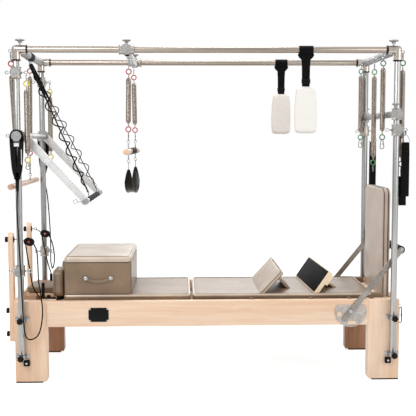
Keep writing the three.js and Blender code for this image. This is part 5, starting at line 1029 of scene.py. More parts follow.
class MakeCanopy(bpy.types.Operator):
    """Makes the four uprights, the two top rails and the two end bars with their elbows"""

    bl_idname = "trapeze_table.canopy"
    bl_label = "Canopy"

    def execute(self, context):
        for end, end_way in ENDS:
            for side, way in SIDES:
                self.upright(end, end_way, side, way)
        for side, way in SIDES:
            piece = Piece("rail_tube_" + side, "brushed_tube_x")
            y, reach = way * GAUGE_Y, FOOT_X - 26
            piece.rod(at(-reach, y, CANOPY_Z), at(reach, y, CANOPY_Z), TUBE, 1, 48)
            piece.done("table_frame", "canopy_tube", "top_rail_" + side)
        for end, end_way in ENDS:
            self.end(end, end_way)
        return {"FINISHED"}

    def upright(self, end, end_way, side, way):
        x, y = end_way * FOOT_X, way * GAUGE_Y
        # The back uprights take the darker copy of the tube: painted shade.
        shade = "brushed_tube_z" if way < 0 else "shaded_tube_z"
        piece = Piece("upright_tube_%s_%s" % (end, side), shade)
        piece.rod(at(x, y, 156), at(x, y, CANOPY_Z - 26), TUBE, 0.8, 48)
        piece.use("black_rubber").turned(
            [(0, 0), (17, 0), (18.8, 1), (18.8, 6), (0, 6)], at(x, y, 154), Z, 40
        )
        if end_way < 0:
            clamp_shell(piece, at(x, y, 695), Z, Y * way)
            for turn in (-1, 1):
                clamp_eye(piece, at(x, y, 695), turn)
        piece.done("table_frame", "canopy_tube", "upright_%s_%s" % (end, side))

    def elbow(self, piece, end_way, way):
        """A cast corner: a ball with three mouths, each closed by a black collar."""
        centre = at(end_way * FOOT_X, way * GAUGE_Y, CANOPY_Z)
        piece.use("polished_aluminium")
        shape = bmesh.new()
        bmesh.ops.create_uvsphere(shape, u_segments=48, v_segments=24, radius=26)
        piece.take(shape, Matrix.Translation(centre))
        inboard = X * -end_way
        for direction, reach in ((DOWN, 65), (inboard, 65), (Y * -way, 45)):
            mouth = centre + direction * reach
            piece.use("polished_aluminium").turned(
                [(0, 0), (25, 0), (25, reach - 5), (0, reach - 5)], centre, direction, 48
            )
            if reach > 50:
                piece.use("moulded_nylon").turned(
                    [(19.2, -6), (26.8, -6), (27.6, -5), (27.6, -0.8), (26.6, 0.2), (19.2, 0.2)], mouth,
                    direction, 48,
                )
        if way < 0:
            flat_knob(piece, centre + inboard * 24, 20, 60)

    def end(self, end, end_way):
        x = end_way * FOOT_X
        piece = Piece("end_bar_" + end, "brushed_tube_y")
        piece.crossbar(x, (-400, 400), CANOPY_Z, TUBE, 0.5, 48)
        piece.use("blasted_aluminium").crossbar(x, (-390, 390), CANOPY_Z, SLEEVE, 0.8, 48)
        piece.use("moulded_nylon")
        for way in (-1, 1):
            piece.crossbar(x, (way * 382, way * 391), CANOPY_Z, 26.5, 1.2, 48)
            self.elbow(piece, end_way, way)
        if end_way < 0:
            self.head_eyes(piece, x)
        else:
            self.foot_eyes(piece, x)
        piece.done("table_frame", "canopy_corner", "canopy_end_" + end)

    def head_eyes(self, piece, x):
        piece.use("black_webbing")
        for y in (-38, 6, 41):
            piece.turned(
                [(24.2, -17), (26.4, -17), (27.4, -16), (27.4, 16), (26.4, 17), (24.2, 17)],
                at(x, y, CANOPY_Z), Y, 40,
            )
        piece.use("bright_chrome").ring(at(x, 30, 1966), Z, X)
        for (eye, low), radius in zip(ROLL_SPRINGS, (25, 24)):
            direction = (low - eye).normalized()
            across = square_to(direction, X)
            start = at(x - radius + 2, eye.y, eye.z)
            piece.eye(start, eye, -X, direction, across)

    def foot_eyes(self, piece, x):
        piece.use("bright_chrome")
        for y, way, eye_x in ((-400, 1, 1164.5), (-250, -1, 1082.5), (-40, -1, 1076.5), (395, -1, 1082.5)):
            eye = at(eye_x, y, EYE_Z)
            start = at(x + way * 22, y, EYE_Z)
            piece.eye(start, eye, X * way, X, Z)
            piece.rod(start, start + X * way * 6, 7, 0.8, 6)


class MakeClamps(bpy.types.Operator):
    """Makes the clamps that slide on the uprights, the push bar's mount and the cross bar"""

    bl_idname = "trapeze_table.clamps"
    bl_label = "Clamps"

    def execute(self, context):
        for side, way in SIDES:
            self.side_clamp("arm_clamp_" + side, HEAD_X, way, ARM_Z)
            self.side_clamp("strap_clamp_" + side, FOOT_X, way, STRAP_Z)
        self.push_mount()
        self.cross_bar()
        return {"FINISHED"}

    def side_clamp(self, node, x, way, height):
        centre = at(x, way * GAUGE_Y, height)
        piece = Piece(node + "_collar", "blasted_aluminium")
        clamp_shell(piece, centre, Z, Y * way)
        for turn in (-1, 1):
            clamp_eye(piece, centre, turn)
        piece.done(node, "clamp_metal", node)

    def push_mount(self):
        piece = Piece("push_mount_bar", "brushed_tube_y")
        piece.crossbar(MOUNT_X, (-410, 410), PUSH_Z, 17, 0.6, 40)
        for way in (-1, 1):
            centre = at(HEAD_X, way * GAUGE_Y, PUSH_Z)
            clamp_shell(piece, centre, Z, Y * way)
            clamp_eye(piece, centre, -1)
            piece.use("blasted_aluminium").crossbar(MOUNT_X, (way * 408, way * 436), PUSH_Z, 19.5, 2, 40)
        piece.done("table_frame", "clamp_metal", "push_bar_mount")

    def cross_bar(self):
        piece = Piece("cross_bar", "blasted_aluminium")
        piece.crossbar(FOOT_X, (-409, 409), CROSS_Z, 20, 0.5, 48)
        for way in (-1, 1):
            centre = at(FOOT_X, way * GAUGE_Y, CROSS_Z)
            clamp_shell(piece, centre, Z, Y * way)
            piece.use("moulded_nylon").crossbar(FOOT_X, (way * 401, way * 409), CROSS_Z, 22, 1, 48)
            foot = at(FOOT_X + way * 14, way * 459, CROSS_Z + 28)
            flat_knob(piece, foot, 0, 36, 22)
        piece.done("cross_clamp", "clamp_metal", "cross_clamp")


class MakeSprings(bpy.types.Operator):
    """Makes the arm springs, the leg springs, the roll-down springs and the trapeze springs"""

    bl_idname = "trapeze_table.springs"
    bl_label = "Springs"

    def execute(self, context):
        sizes = context.scene.table_sizes
        self.pitch, self.wire = sizes.spring_pitch * 1000, sizes.spring_wire * 500
        for side, way in SIDES:
            eye = at(-1066.5, way * GAUGE_Y, ARM_Z)
            self.hanging("arm_spring_" + side, eye, (44, 19, 378, 40), "yellow_paint")
        for name, place, lengths, strap, paint in (
            ("outer", (1164.5, -400), (43, 26, 525, 58), 130, "green_paint"),
            ("front", (1082.5, -250), (32, 9, 392, 56), 0, "sea_green_paint"),
            ("middle", (1076.5, -40), (69, 9, 518, 42), 90, "green_paint"),
            ("back", (1082.5, 395), (32, 9, 392, 56), 0, "sea_green_paint"),
        ):
            eye = at(place[0], place[1], EYE_Z)
            self.hanging("leg_spring_" + name, eye, lengths, paint, strap)
        for side, (eye, low), hook, neck in (
            ("front", ROLL_SPRINGS[0], 55, 50), ("back", ROLL_SPRINGS[1], 45, 20)
        ):
            self.hooked("roll_down_spring_" + side, "roll_down", eye, low, (hook, neck, 470))
        for side, way in SIDES:
            eye, low = at(SLIDER_X, way * 250, 1960), at(SLIDER_X + way * 7, way * 250, HANG_EYE_Z)
            self.hooked("trapeze_spring_" + side, "trapeze", eye, low, (52, 19, 280))
        return {"FINISHED"}

    def hanging(self, node, eye, lengths, paint, strap=0):
        hook, neck, body, tail = lengths
        top = eye + DOWN * HOOK_DROP
        bottom = top + DOWN * (hook + 64 + neck + body + 19 + tail)
        piece = Piece(node + "_coil", "plated_wire")
        self.spring(piece, top, bottom, hook, neck, body, paint, not strap)
        if strap:
            piece.use("black_webbing")
            low, high = bottom.z - strap + 5, bottom.z + HOOK_WIRE - 2
            x, y = bottom.x, bottom.y
            line = arc(at(x, y, high - 6), Y, Z, 6, 0, 0.5, 8) + arc(at(x, y, low + 6), Y, Z, 6, 0.5, 1, 8)
            piece.ribbon(line, X, 25, 2.4, closed=True, ease=0.6)
            piece.block((x - 13, x + 13), (y - 4.5, y + 4.5), (high - 34, high - 26), 1)
        piece.done(node, "spring_wire", node)

    def hooked(self, node, body_name, upper, lower, lengths):
        direction = (lower - upper).normalized()
        piece = Piece(node + "_coil", "plated_wire")
        top, bottom = upper + direction * HOOK_DROP, lower - direction * HOOK_DROP
        self.spring(piece, top, bottom, *lengths, "red_paint")
        piece.done(body_name, "spring_wire", node)

    def spring(self, piece, top, bottom, hook, neck, body, paint, free=False):
        """Hook, painted ring, tapered end, close-wound body, tapered end, painted ring, lower hook."""
        direction = (bottom - top).normalized()
        across = square_to(direction, Y)
        flat = direction.cross(across).normalized()
        upper_ring = top + direction * (hook + 16)
        neck_top = upper_ring + direction * 16
        body_top = neck_top + direction * neck
        body_end = body_top + direction * body
        lower_ring = body_end + direction * 35
        tail_top = lower_ring + direction * 16
        piece.use("bright_chrome").link(
            top + direction * 8, top + direction * (hook - 8), direction, across
        )
        piece.use("zinc_plate")
        if free:
            upper, lower = tail_top + direction * 6, bottom - direction * 12
            piece.link(upper, lower, direction, flat, 6, 2.6, 12)
        else:
            piece.link(tail_top + direction * 8, bottom - direction * 8, direction, across)
        piece.use(paint)
        for ring in (upper_ring, lower_ring):
            piece.ring(ring, direction, flat, 15.2, 3.9, 36)
        piece.use("plated_wire")
        back = -direction
        for start, way, length in ((neck_top, direction, neck), (body_end + direction * 19, back, 19)):
            piece.turned(
                [(0, -1), (3, -0.5), (3.4, length * 0.5), (4.5, length), (7, length + 4), (0, length + 4)],
                start, way, 20,
            )
            shape_end = start + way * (length + 3)
            turns = 23 / self.pitch
            steps = 16
            cone = []
            for i in range(int(turns * steps) + 1):
                share = i / (turns * steps)
                turn = tau * i / steps
                reach = 6.5 + (17 - self.wire - 6.5) * (1 - (1 - share) ** 2.2) ** 0.5
                spot = shape_end + way * (23 * share)
                cone.append(spot + across * reach * cos(turn) + flat * reach * sin(turn))
            piece.wire(cone, self.wire)
        piece.coil(
            body_top + direction * 25, body_end - direction * 25, 17 - self.wire, self.wire, self.pitch
        )
        piece.rod(body_top + direction * 24, body_end - direction * 24, 13.4, 0, 20)


class MakeRollDown(bpy.types.Operator):
    """Makes the wooden roll-down bar"""

    bl_idname = "trapeze_table.roll_down"
    bl_label = "Roll-down bar"

    def execute(self, context):
        piece = Piece("roll_bar_dowel", "handled_maple")
        piece.turned(
            [(0, 0), (13, 0), (15.8, 0.9), (17, 3.4), (17, 896.6), (15.8, 899.1), (13, 900), (0, 900)],
            at(ROLL_X, -450, 1197), Y, 48,
        )
        piece.use("bright_chrome")
        for top, low in ROLL_SPRINGS:
            direction = (low - top).normalized()
            across = square_to(direction, X)
            stem = low + direction * EYE
            piece.rod(at(low.x, stem.y, 1212), stem, 4, 0.5, 16)
            piece.turned([(11, 0), (11, 1.2), (7, 3), (0, 3)], at(low.x, stem.y, 1212.6), Z, 28)
            piece.ring(low, direction, across)
        piece.done("roll_down", "maple_wood", "roll_down_bar")
        return {"FINISHED"}


class MakePushBar(bpy.types.Operator):
    """Makes the push-through bar with its drilled arms, their holes shown by dark plugs of painted shade,
    and its ribbed grip
    """

    bl_idname = "trapeze_table.push_bar"
    bl_label = "Push-through bar"

    def execute(self, context):
        pivot, grip = at(MOUNT_X, 0, PUSH_Z), at(GRIP_X, 0, GRIP_Z)
        direction = (grip - pivot).normalized()
        across = direction.cross(Y).normalized()
        reach = (grip - pivot).length
        piece = Piece("push_bar_frame", "machined_aluminium")
        piece.rod(grip - Y * 448, grip + Y * 448, 14, 1, 40)
        self.grip(piece, grip)
        for way in (-1, 1):
            near, far = way * 374, way * 386
            piece.use("satin_white_coat")
            outline = arc(pivot, across, -direction, 26, 0.02, 0.48, 22)
            outline += arc(grip, across, direction, 20, 0.5, 0, 16)
            outline = [point + Y * near for point in outline]
            piece.board(outline, (0, far - near, 0), 2, 3)
            # The holes are not cut: a short black plug at each, on both faces, is painted shade inside the
            # hole.
            piece.use("black_anodised_and_hole_shade")
            for i in range(24):
                spot = pivot + direction * (44 + (reach - 76) * i / 23)
                for edge in (-13.5, 13.5):
                    hole = spot + across * edge
                    for face, out in ((near, -way), (far, way)):
                        start = hole + Y * (face - out * 0.6)
                        piece.rod(start, hole + Y * (face + out * 0.15), 1.6, 0, 8)
            piece.use("blasted_aluminium")
            for face, out in ((near, -way), (far, way)):
                collar = [(17.8, -0.5), (17.8, 3.2), (23, 3.2), (25, 2), (25, -0.5)]
                piece.turned(collar, pivot + Y * face, Y * out, 40)
            tip = grip + Y * way * 450
            knurled(piece, tip - Y * way * 8, Y * way, 18, 0, 8)
            piece.use("bright_chrome")
            for y in (362, 394):
                piece.rod(grip + Y * way * y, grip + Y * way * (y + 5), 18, 1, 36)
            eye = at(GRIP_X, way * 240, LINE_EYE_Z)
            piece.eye(at(GRIP_X, way * 240, 1120), eye, Z, Z, Y)
        piece.use("bright_chrome")
        for ring in (grip + at(-57, -432, 2), grip + at(-34, 432, 52)):
            inward = at(grip.x, ring.y, grip.z) - ring
            piece.rod(ring + inward.normalized() * 12, ring + inward, 3.5, 0.5, 16)
            piece.ring(ring, X, Z, 12, 2.6)
        piece.done("push_through_bar", "clamp_metal", "push_through_bar")
        return {"FINISHED"}

    def grip(self, piece, centre):
        """The rubber sleeve with rings moulded round it."""
        piece.use("black_rubber")
        profile = [(13.5, -290), (15.6, -289.6)]
        for i in range(58):
            start = -288 + 9.93 * i
            profile += [(16, start), (17, start + 1.6), (17, start + 7), (16, start + 8.6)]
        profile += [(15.6, 289.6), (13.5, 290)]
        piece.turned(profile, centre, Y, 36)


class MakeTrapeze(bpy.types.Operator):
    """Makes the trapeze's slider, its bar with clips, and the black sling under it"""

    bl_idname = "trapeze_table.trapeze"
    bl_label = "Trapeze"

    def execute(self, context):
        self.slider()
        self.bar()
        return {"FINISHED"}

    def slider(self):
        piece = Piece("slider_tube", "brushed_tube_y")
        piece.crossbar(SLIDER_X, (-408, 408), 1990, 21, 0.6, 48)
        for way in (-1, 1):
            centre = at(SLIDER_X, way * GAUGE_Y, CANOPY_Z)
            clamp_shell(piece, centre, X, Y * way, 90)
            flat_knob(piece, centre, 26, 59, 25)
            piece.use("moulded_nylon").crossbar(SLIDER_X, (way * 401, way * 409), 1990, 24, 1, 48)
            piece.use("bright_chrome").ring(at(SLIDER_X, way * 250, 1960), Z, X)
            piece.crossbar(SLIDER_X, (way * 250 - 5, way * 250 + 5), 1970.5, 4.5, 1, 16)
        piece.done("trapeze_slider", "clamp_metal", "trapeze_slider")

    def bar(self):
        front, back = at(-485, -250, HANG_EYE_Z), at(-471, 250, HANG_EYE_Z)
        along = (back - front).normalized()
        across = along.cross(Z).normalized()
        middle = at(SLIDER_X, 0, DOWEL_Z)
        piece = Piece("trapeze_dowel", "bar_maple")
        piece.turned(
            [(0, -400), (15, -400), (18, -398.6), (19, -396), (19, 396), (18, 398.6), (15, 400), (0, 400)],
            middle, along, 48,
        )
        piece.use("black_rubber")
        profile = [(18.6, -175)]
        for i in range(35):
            start = -174 + 10 * i
            profile += [(20, start), (21, start + 1.5), (21, start + 7), (20, start + 8.5)]
        piece.turned(profile + [(18.6, 175)], middle, along, 40)
        piece.use("machined_aluminium")
        knurled(piece, middle, along, 21, 384, 404)
        ends = []
        for eye in (front, back):
            bar = at(eye.x, eye.y, DOWEL_Z)
            low = at(eye.x, eye.y, 1343)
            piece.use("bright_chrome").eye(bar, eye, Z, Z, X)
            piece.eye(bar, low, DOWN, Z, X)
            clip_top = low - Z * EYE
            clip_end = clip_top - Z * 46
            piece.link(clip_top - Z * 8, clip_end + Z * 8, DOWN, Y)
            piece.use("moulded_nylon").rod(bar - along * 9, bar + along * 9, 20.4, 1, 32)
            ends.append(clip_end)
        piece.done("trapeze", "bar_wood", "trapeze_bar")
        self.sling(ends, across)

    def sling(self, ends, across):
        """A glossy band that hangs between the clips, gathered at its ends and spread at its middle."""
        start, end = ends
        piece = Piece("sling_band", "black_vinyl")
        shape = bmesh.new()
        steps, wide = 48, 14
        bmesh.ops.create_grid(shape, x_segments=steps, y_segments=wide, size=1)
        flat_length, last = 0.0, None
        for vert in shape.verts:
            way, over = (vert.co.x + 1) / 2, vert.co.y
            centre = self.middle_line(start, end, way)
            share = 0.3 + 0.7 * min(1, 7 * min(way, 1 - way)) ** 0.6
            half = 26 * share
            fold = 7 * (1 - share) * cos(over * 9.5)
            cup = -4 * share * over * over
            vert.co = centre + across * (half * over) + Z * (cup + fold * 0.6)
        for i in range(steps + 1):
            spot = self.middle_line(start, end, i / steps)
            flat_length += (spot - last).length if last is not None else 0
            last = spot
        face_out(shape)
        bmesh.ops.solidify(shape, geom=shape.faces[:], thickness=2.6)
        piece.take(shape)
        piece.use("black_webbing")
        for clip in (start, end):
            piece.ribbon(arc(clip + DOWN * 1, across, Z, 7, 0, 1, 16)[:-1], Y, 10, 2, closed=True)
        sling = piece.done("trapeze", "black_web")

    def middle_line(self, start, end, way):
        centre = start.lerp(end, way)
        centre.z -= 152 * sin(pi * min(1, max(0, way))) ** 0.8
        centre.x -= 9 * sin(tau * way)
        return centre


class MakeStraps(bpy.types.Operator):
    """Makes the foot straps, and the fleece loops on the top rails"""

    bl_idname = "trapeze_table.straps"
    bl_label = "Foot straps and fleece loops"

    def execute(self, context):
        for side, way in SIDES:
            self.foot_strap(side, way)
        self.fleece_loop("front", -1, 579, "white_fleece")
        self.fleece_loop("back", 1, 533, "sand_fleece")
        return {"FINISHED"}

    def foot_strap(self, side, way):
        x, y = 1180.5, way * GAUGE_Y
        piece = Piece("strap_loop_" + side, "bright_chrome")
        top = at(x, y, STRAP_Z - HOOK_DROP)
        piece.link(top + DOWN * 8, top + DOWN * 18, DOWN, Y, 8, 2.6)
        ring_top = top.z - 26
        low = ring_top - 48
        outline = [
            at(x - 9, y, ring_top - 4), at(x, y, ring_top), at(x + 9, y, ring_top - 4),
            at(x + 25, y, low + 9), at(x + 19, y, low), at(x - 19, y, low), at(x - 25, y, low + 9),
        ]
        piece.wire(smooth_route(outline, 6, closed=True), 2.8, closed=True)
        piece.use("black_webbing")
        line = arc(at(x, y, low + 1), Y, Z, 4, 0, 0.5, 8)
        line += [at(x, y - 9.5, 1390), at(x, y - 10.5, 1200)]
        line += arc(at(x, y, 1143), Y, Z, 10.5, 0.5, 1, 12)
        line += [at(x, y + 10.5, 1200), at(x, y + 9.5, 1390)]
        piece.ribbon(line, X, 45, 2.6, closed=True, ease=0.8)
        piece.ribbon(
            [at(x - 14, y, 1133), at(x - 14, y - way * 1, 1106), at(x - 14, y + way * 2, 1079)],
            X, 45, 2.6, ease=0.8,
        )
        piece.use("black_vinyl")
        for height in (1402, 1432):
            piece.block((x - 20, x + 20), (y - 9.8, y + 9.8), (height - 1, height + 1), 0.4)
        strap = piece.done("foot_strap_" + side, "black_web", "foot_strap_" + side)

    def fleece_loop(self, side, way, x, pile):
        y = way * GAUGE_Y
        piece = Piece("pile_loop_" + side, pile)
        outer, low, high = 23 - 7.5, 1512, 1787
        line = arc(at(x, y, high - 23), Y, Z, outer, 0, 0.5, 14)
        line += [at(x, y - outer, high - 23 - (high - low - 46) * i / 16) for i in range(1, 16)]
        line += arc(at(x, y, low + 23), Y, Z, outer, 0.5, 1, 14)
        line += [at(x, y + outer, low + 23 + (high - low - 46) * i / 16) for i in range(1, 16)]
        shape = bmesh.new()
        verts = [shape.verts.new(point - X * 58) for point in line]
        edges = [shape.edges.new(pair) for pair in zip(verts, verts[1:] + verts[:1])]
        for _ in range(24):
            pulled = bmesh.ops.extrude_edge_only(shape, edges=edges)["geom"]
            fresh = only(pulled, bmesh.types.BMVert)
            bmesh.ops.translate(shape, vec=X * (116 / 24), verts=fresh)
            edges = only(pulled, bmesh.types.BMEdge)
        face_out(shape)
        bmesh.ops.solidify(shape, geom=shape.faces[:], thickness=-6)
        face_out(shape)
        for vert in shape.verts:
            spot = vert.co / 1000
            tuft = noise.noise(spot * 60) * 1.6 + noise.noise(spot * 190) * 1.0
            edge = abs(vert.co.x - x) / 58
            vert.co += vert.normal * (tuft + 2.0 * (1 - edge**6))
            rise = (vert.co.z - low) / (high - low)
            half = 61 + 5 * sin(pi * rise) - 9 * max(0, rise) ** 3
            vert.co.x = x + (vert.co.x - x) * half / 58
            vert.co.z -= (2 * rise - 1) * 9 * edge**5 * abs(2 * rise - 1) ** 3
        piece.take(shape)
        piece.use("black_webbing").turned(
            [(19.9, -41), (22.4, -42), (24.2, -40), (24.2, 40), (22.4, 42), (19.9, 41), (19.9, -41)],
            at(x, y, CANOPY_Z), X, 40,
        )
        route = [at(x, y, z) for z in (1986, 1972, 1960, 1944, 1900, 1774)]
        piece.ribbon(route, X, [84, 99, 86, 54, 49, 45], 5.4, ease=1)
        piece.use("moulded_nylon").block((x - 26, x + 26), (y - 6, y + 6), (1806, 1832), 2)
        piece.use("black_webbing").block((x - 20, x + 20), (y - 7.5, y + 7.5), (1815, 1823), 1)
        loop = piece.done("fleece_loop_" + side, "fleece", "fleece_loop_" + side)


class MakePulleys(bpy.types.Operator):
    """Makes the two pulleys that hang on the risers"""

    bl_idname = "trapeze_table.pulleys"
    bl_label = "Pulleys"

    def execute(self, context):
        for side, way, z in (("front", -1, 853), ("back", 1, 835)):
            self.pulley(side, way, z)
        return {"FINISHED"}

    def pulley(self, side, way, z):
        y = way * 300
        centre = at(-1094, y, z)
        lean = at(cos(0.26), 0, -sin(0.26))
        over = Y.cross(lean)
        piece = Piece("pulley_shell_" + side, "moulded_nylon")
        outline = arc(centre + lean * 9, lean, over, 23.5, -0.25, 0.25, 20)
        outline += arc(centre - lean * 9, lean, over, 23.5, 0.25, 0.75, 20)
        for turn in (-1, 1):
            piece.use("moulded_nylon")
            near = [point + Y * turn * 7 for point in outline]
            piece.board(near, Y * turn * 4, 1.4, 3)
            piece.use("red_paint").turned(
                [(0, 0.5), (7.5, 0.5), (8, 0)], centre + Y * turn * 11, Y * turn, 28
            )
            piece.use("bright_chrome").turned(
                [(0, 2), (3.4, 1.8), (4.4, 0.6), (4.4, 0)], centre + Y * turn * 11, Y * turn, 20
            )
        groove = [(0, -6.7), (17, -6.7), (18.5, -6), (16, -2.6), (14.9, 0), (16, 2.6), (18.5, 6)]
        piece.use("black_rubber").turned(groove + [(17, 6.7), (0, 6.7)], centre, Y, 40)
        piece.use("moulded_nylon")
        edge = centre - lean * 26
        grid = aimed(edge, lean)
        piece.block((-4, 4), (-8, 8), (-4, 3), 1.2, grid)
        eye = at(-1159.8, y, 868)
        towards = (edge - eye).normalized()
        piece.use("bright_chrome").link(eye + towards * 11.6, edge - towards * 8, towards, Y, 8, 2.6)
        piece.done("table_frame", "pulley_body", "pulley_" + side)


def rounded(x, y, corner, spot, up=Y, steps=6):
    """A rounded rectangle's outline between two X and two Y, or two levels of another direction."""
    made = []
    for turn, across, over in ((0, x[1], y[1]), (0.25, x[0], y[1]), (0.5, x[0], y[0]), (0.75, x[1], y[0])):
        inward = (-corner if across == x[1] else corner, -corner if over == y[1] else corner)
        centre = spot + X * (across + inward[0]) + up * (over + inward[1])
        made += arc(centre, X, up, corner, turn, turn + 0.25, steps)
    return made


def plan_line(x, y, corner, z):
    """A rounded rectangle's outline at a height."""
    return rounded(x, y, corner, Z * z)


def piping(piece, line, radius=1.8, place=None, closed=True, finish="piping_leather"):
    """The covered cord sewn along a seam; in its default dark leather it is painted shade in the seam."""
    piece.use(finish)
    points = [place @ point for point in line] if place else line
    piece.wire(points, radius, closed=closed)


class MakeCarriage(bpy.types.Operator):
    """Makes the carriage with its wheels and rope posts, its pad, the headrest and the shoulder rests"""

    bl_idname = "trapeze_table.carriage"
    bl_label = "Carriage"

    def execute(self, context):
        self.deck()
        crown = context.scene.table_sizes.pad_crown * 1000
        pad = Piece("carriage_cover", "taupe_leather")
        upholstered(pad, (-885, -322, 486.3), (-106, 322, 526 - crown), 20, 16, crown, 1.2)
        self.edges(pad, (-885, -106))
        pad.done("carriage", "taupe_cover", "carriage_pad")
        rest = Piece("headrest_cover", "taupe_leather")
        upholstered(rest, (-1150, -120, 506.3), (-955.3, 120, 541), 22, 12, 1, 1.5, cuts=(14, 16))
        piping(rest, plan_line((-1149, -956.3), (-119, 119), 21, 530))
        rest.done("carriage", "taupe_cover", "headrest")
        for side, way in SIDES:
            self.shoulder_rest(side, way)
        return {"FINISHED"}

    @staticmethod
    def edges(pad, x):
        """The rolled edge round a pad, between a seam on its top and one down its side."""
        # The thick roll takes the paler leather, a painted highlight; the thin cords take the dark piping,
        # painted shade.
        for inset, level, radius, finish in (
            (9, 516.5, 9.6, "rolled_leather"), (15, 525.2, 1.5, "piping_leather"),
            (1.6, 506, 1.5, "piping_leather"), (3, 489.6, 2, "piping_leather"),
        ):
            line = plan_line((x[0] + inset, x[1] - inset), (inset - 322, 322 - inset), 17, level)
            piping(pad, line, radius, finish=finish)

    def deck(self):
        piece = Piece("deck_board", "lacquered_maple_x")
        piece.block((-965, -106), (-350, 350), (468, 486), 2.4, segments=3)
        piece.block((-1150, -905), (-110, 110), (482, 500), 2.2, segments=3)
        piece.block((-966, -905), (-110, 110), (470, 499), 1)
        for x in (-1120, -995):
            piece.block((x - 15, x + 15), (-55, 55), (499, 506), 1.2)
        for x in (-905, -166):
            for way in (-1, 1):
                centre = at(x, way * 349, 453.15)
                piece.use("moulded_nylon").turned(
                    [(0, 0), (14, 0), (16.2, 1), (16.85, 3), (16.85, 11), (16.2, 13), (14, 14), (0, 14)],
                    centre, Y * -way, 32,
                )
                piece.use("bright_chrome").turned([(0, 0.8), (4, 0.6), (5.5, -1)], centre, Y * way, 20)
        for x, way, top in ((-1013, -1, 600), (-1058, 1, 560)):
            piece.use("lacquered_maple_x").block(
                (x - 12, -935), (way * 300 - 15, way * 300 + 15), (468, 500), 2
            )
            piece.use("moulded_nylon").block(
                (x + 8, -936), (way * 300 - 13, way * 300 + 13), (499, 509), 3, segments=3
            )
            piece.rod(at(x + 34, way * 300, 508), at(x + 34, way * 300, 523), 12, 3, 28)
            piece.use("black_rubber")
            foot = at(x, way * 300, 499)
            height = top - 499
            piece.turned(
                [(0, 0), (10.6, 0), (10.6, 3), (9.6, 5), (9.6, height - 5), (8, height - 0.8), (0, height)],
                foot, Z, 28,
            )
        piece.done("carriage", "maple_wood", "carriage_deck")

    def shoulder_rest(self, side, way):
        piece = Piece("shoulder_pad_" + side, "taupe_leather")
        middle = at(-922, way * 200, 591)
        place = Matrix.Translation(middle) @ basis(Y, Z, X)
        upholstered(
            piece, (-100, -85, -33), (100, 85, 31), 40, 14, 2, 2.5, place=place, cuts=(12, 10), swell=1.0
        )
        for level in (18, -18):
            line = plan_line((-99.4, 99.4), (-84.4, 84.4), 40, level)
            piping(piece, line, 1.8, place)
        piece.use("black_rubber").block((-935, -909), (way * 120, way * 280), (486.3, 507), 1.5)
        piece.done("carriage", "taupe_cover", "shoulder_rest_" + side)


class MakeSittingBox(bpy.types.Operator):
    """Makes the upholstered sitting box with its lid seam, and its leather strap handle"""

    bl_idname = "trapeze_table.sitting_box"
    bl_label = "Sitting box"

    def execute(self, context):
        crown = context.scene.table_sizes.pad_crown * 1000
        piece = Piece("box_cover", "taupe_leather")
        upholstered(piece, (-882, -318, MAT_TOP), (-469, 318, 724), 14, 5, 0, 2.2, cuts=(18, 20))
        # The lid and the thick roll round it take the paler leather: a painted highlight where they catch
        # the light.
        piece.use("rolled_leather")
        upholstered(piece, (-882, -320, 716), (-469, 320, 765 - crown), 26, 24, crown, 0.8, cuts=(18, 20))
        lid = plan_line((-870, -481), (-307, 307), 18, 746)
        piping(piece, lid, 14.6, finish="rolled_leather")
        # The thin dark piping in the seams is painted shade.
        piping(piece, plan_line((-879, -472), (-317, 317), 20, 726), 1.8)
        piping(piece, plan_line((-866, -485), (-303.5, 303.5), 18, 761.6), 1.8)
        piping(piece, plan_line((-880, -471), (-316, 316), 14, 530), 2)
        # Dark cords down the box's corners: painted shade in the corner seams.
        for x, y in ((-881.2, -317.2), (-469.8, -317.2), (-469.8, 317.2), (-881.2, 317.2)):
            inset = Vector((copysign(3.6, x + 675.5), copysign(3.6, y)))
            piece.wire([at(x - inset.x, y - inset.y, 532 + 19 * i) for i in range(11)], 1.7)
        for x in (-750, -596):
            piece.use("bright_chrome").turned(
                [(0, 9.4), (6, 9), (10.6, 7.6), (12.6, 6), (13, 5.2), (6, 5.2), (6, -6), (0, -6)],
                at(x, -318, 626), -Y, 36,
            )
        piece.done("sitting_box", "taupe_cover", "sitting_box")
        self.handle()
        return {"FINISHED"}

    def handle(self):
        piece = Piece("handle_strap", "strap_leather")
        left, right, height, sag = -750, -596, 626, 19

        def droop(offset, steps=28):
            line = []
            for i in range(steps + 1):
                s = i / steps
                x = left + (right - left) * s
                slope = 4 * sag * (2 * s - 1) / (right - left)
                way = Vector((-slope, 1)).normalized() * (0.62 + 0.38 * sin(pi * s))
                z = height - 4 * sag * s * (1 - s)
                line.append(at(x + way.x * offset, -318.4, z + way.y * offset))
            return line

        outline = droop(-12) + droop(12)[::-1]
        piece.board(outline, (0, -4.8, 0), 1.5, 3)
        for x in (left, right):
            piece.turned(
                [(13.4, 0.4), (17.2, 0.4), (18, 1.4), (18, 4.2), (17.2, 5.2), (13.4, 5.2), (13.4, 0.4)],
                at(x, -318, height), -Y, 32,
            )
        piece.use("piping_leather")
        for offset in (-8.6, 8.6):
            stitches = [point - Y * 4.9 for point in droop(offset, 44)]
            for a, b in zip(stitches[2:-3:2], stitches[3:-2:2]):
                piece.rod(a, b, 0.7, 0, 5)
        piece.done("sitting_box", "taupe_cover", "box_handle")


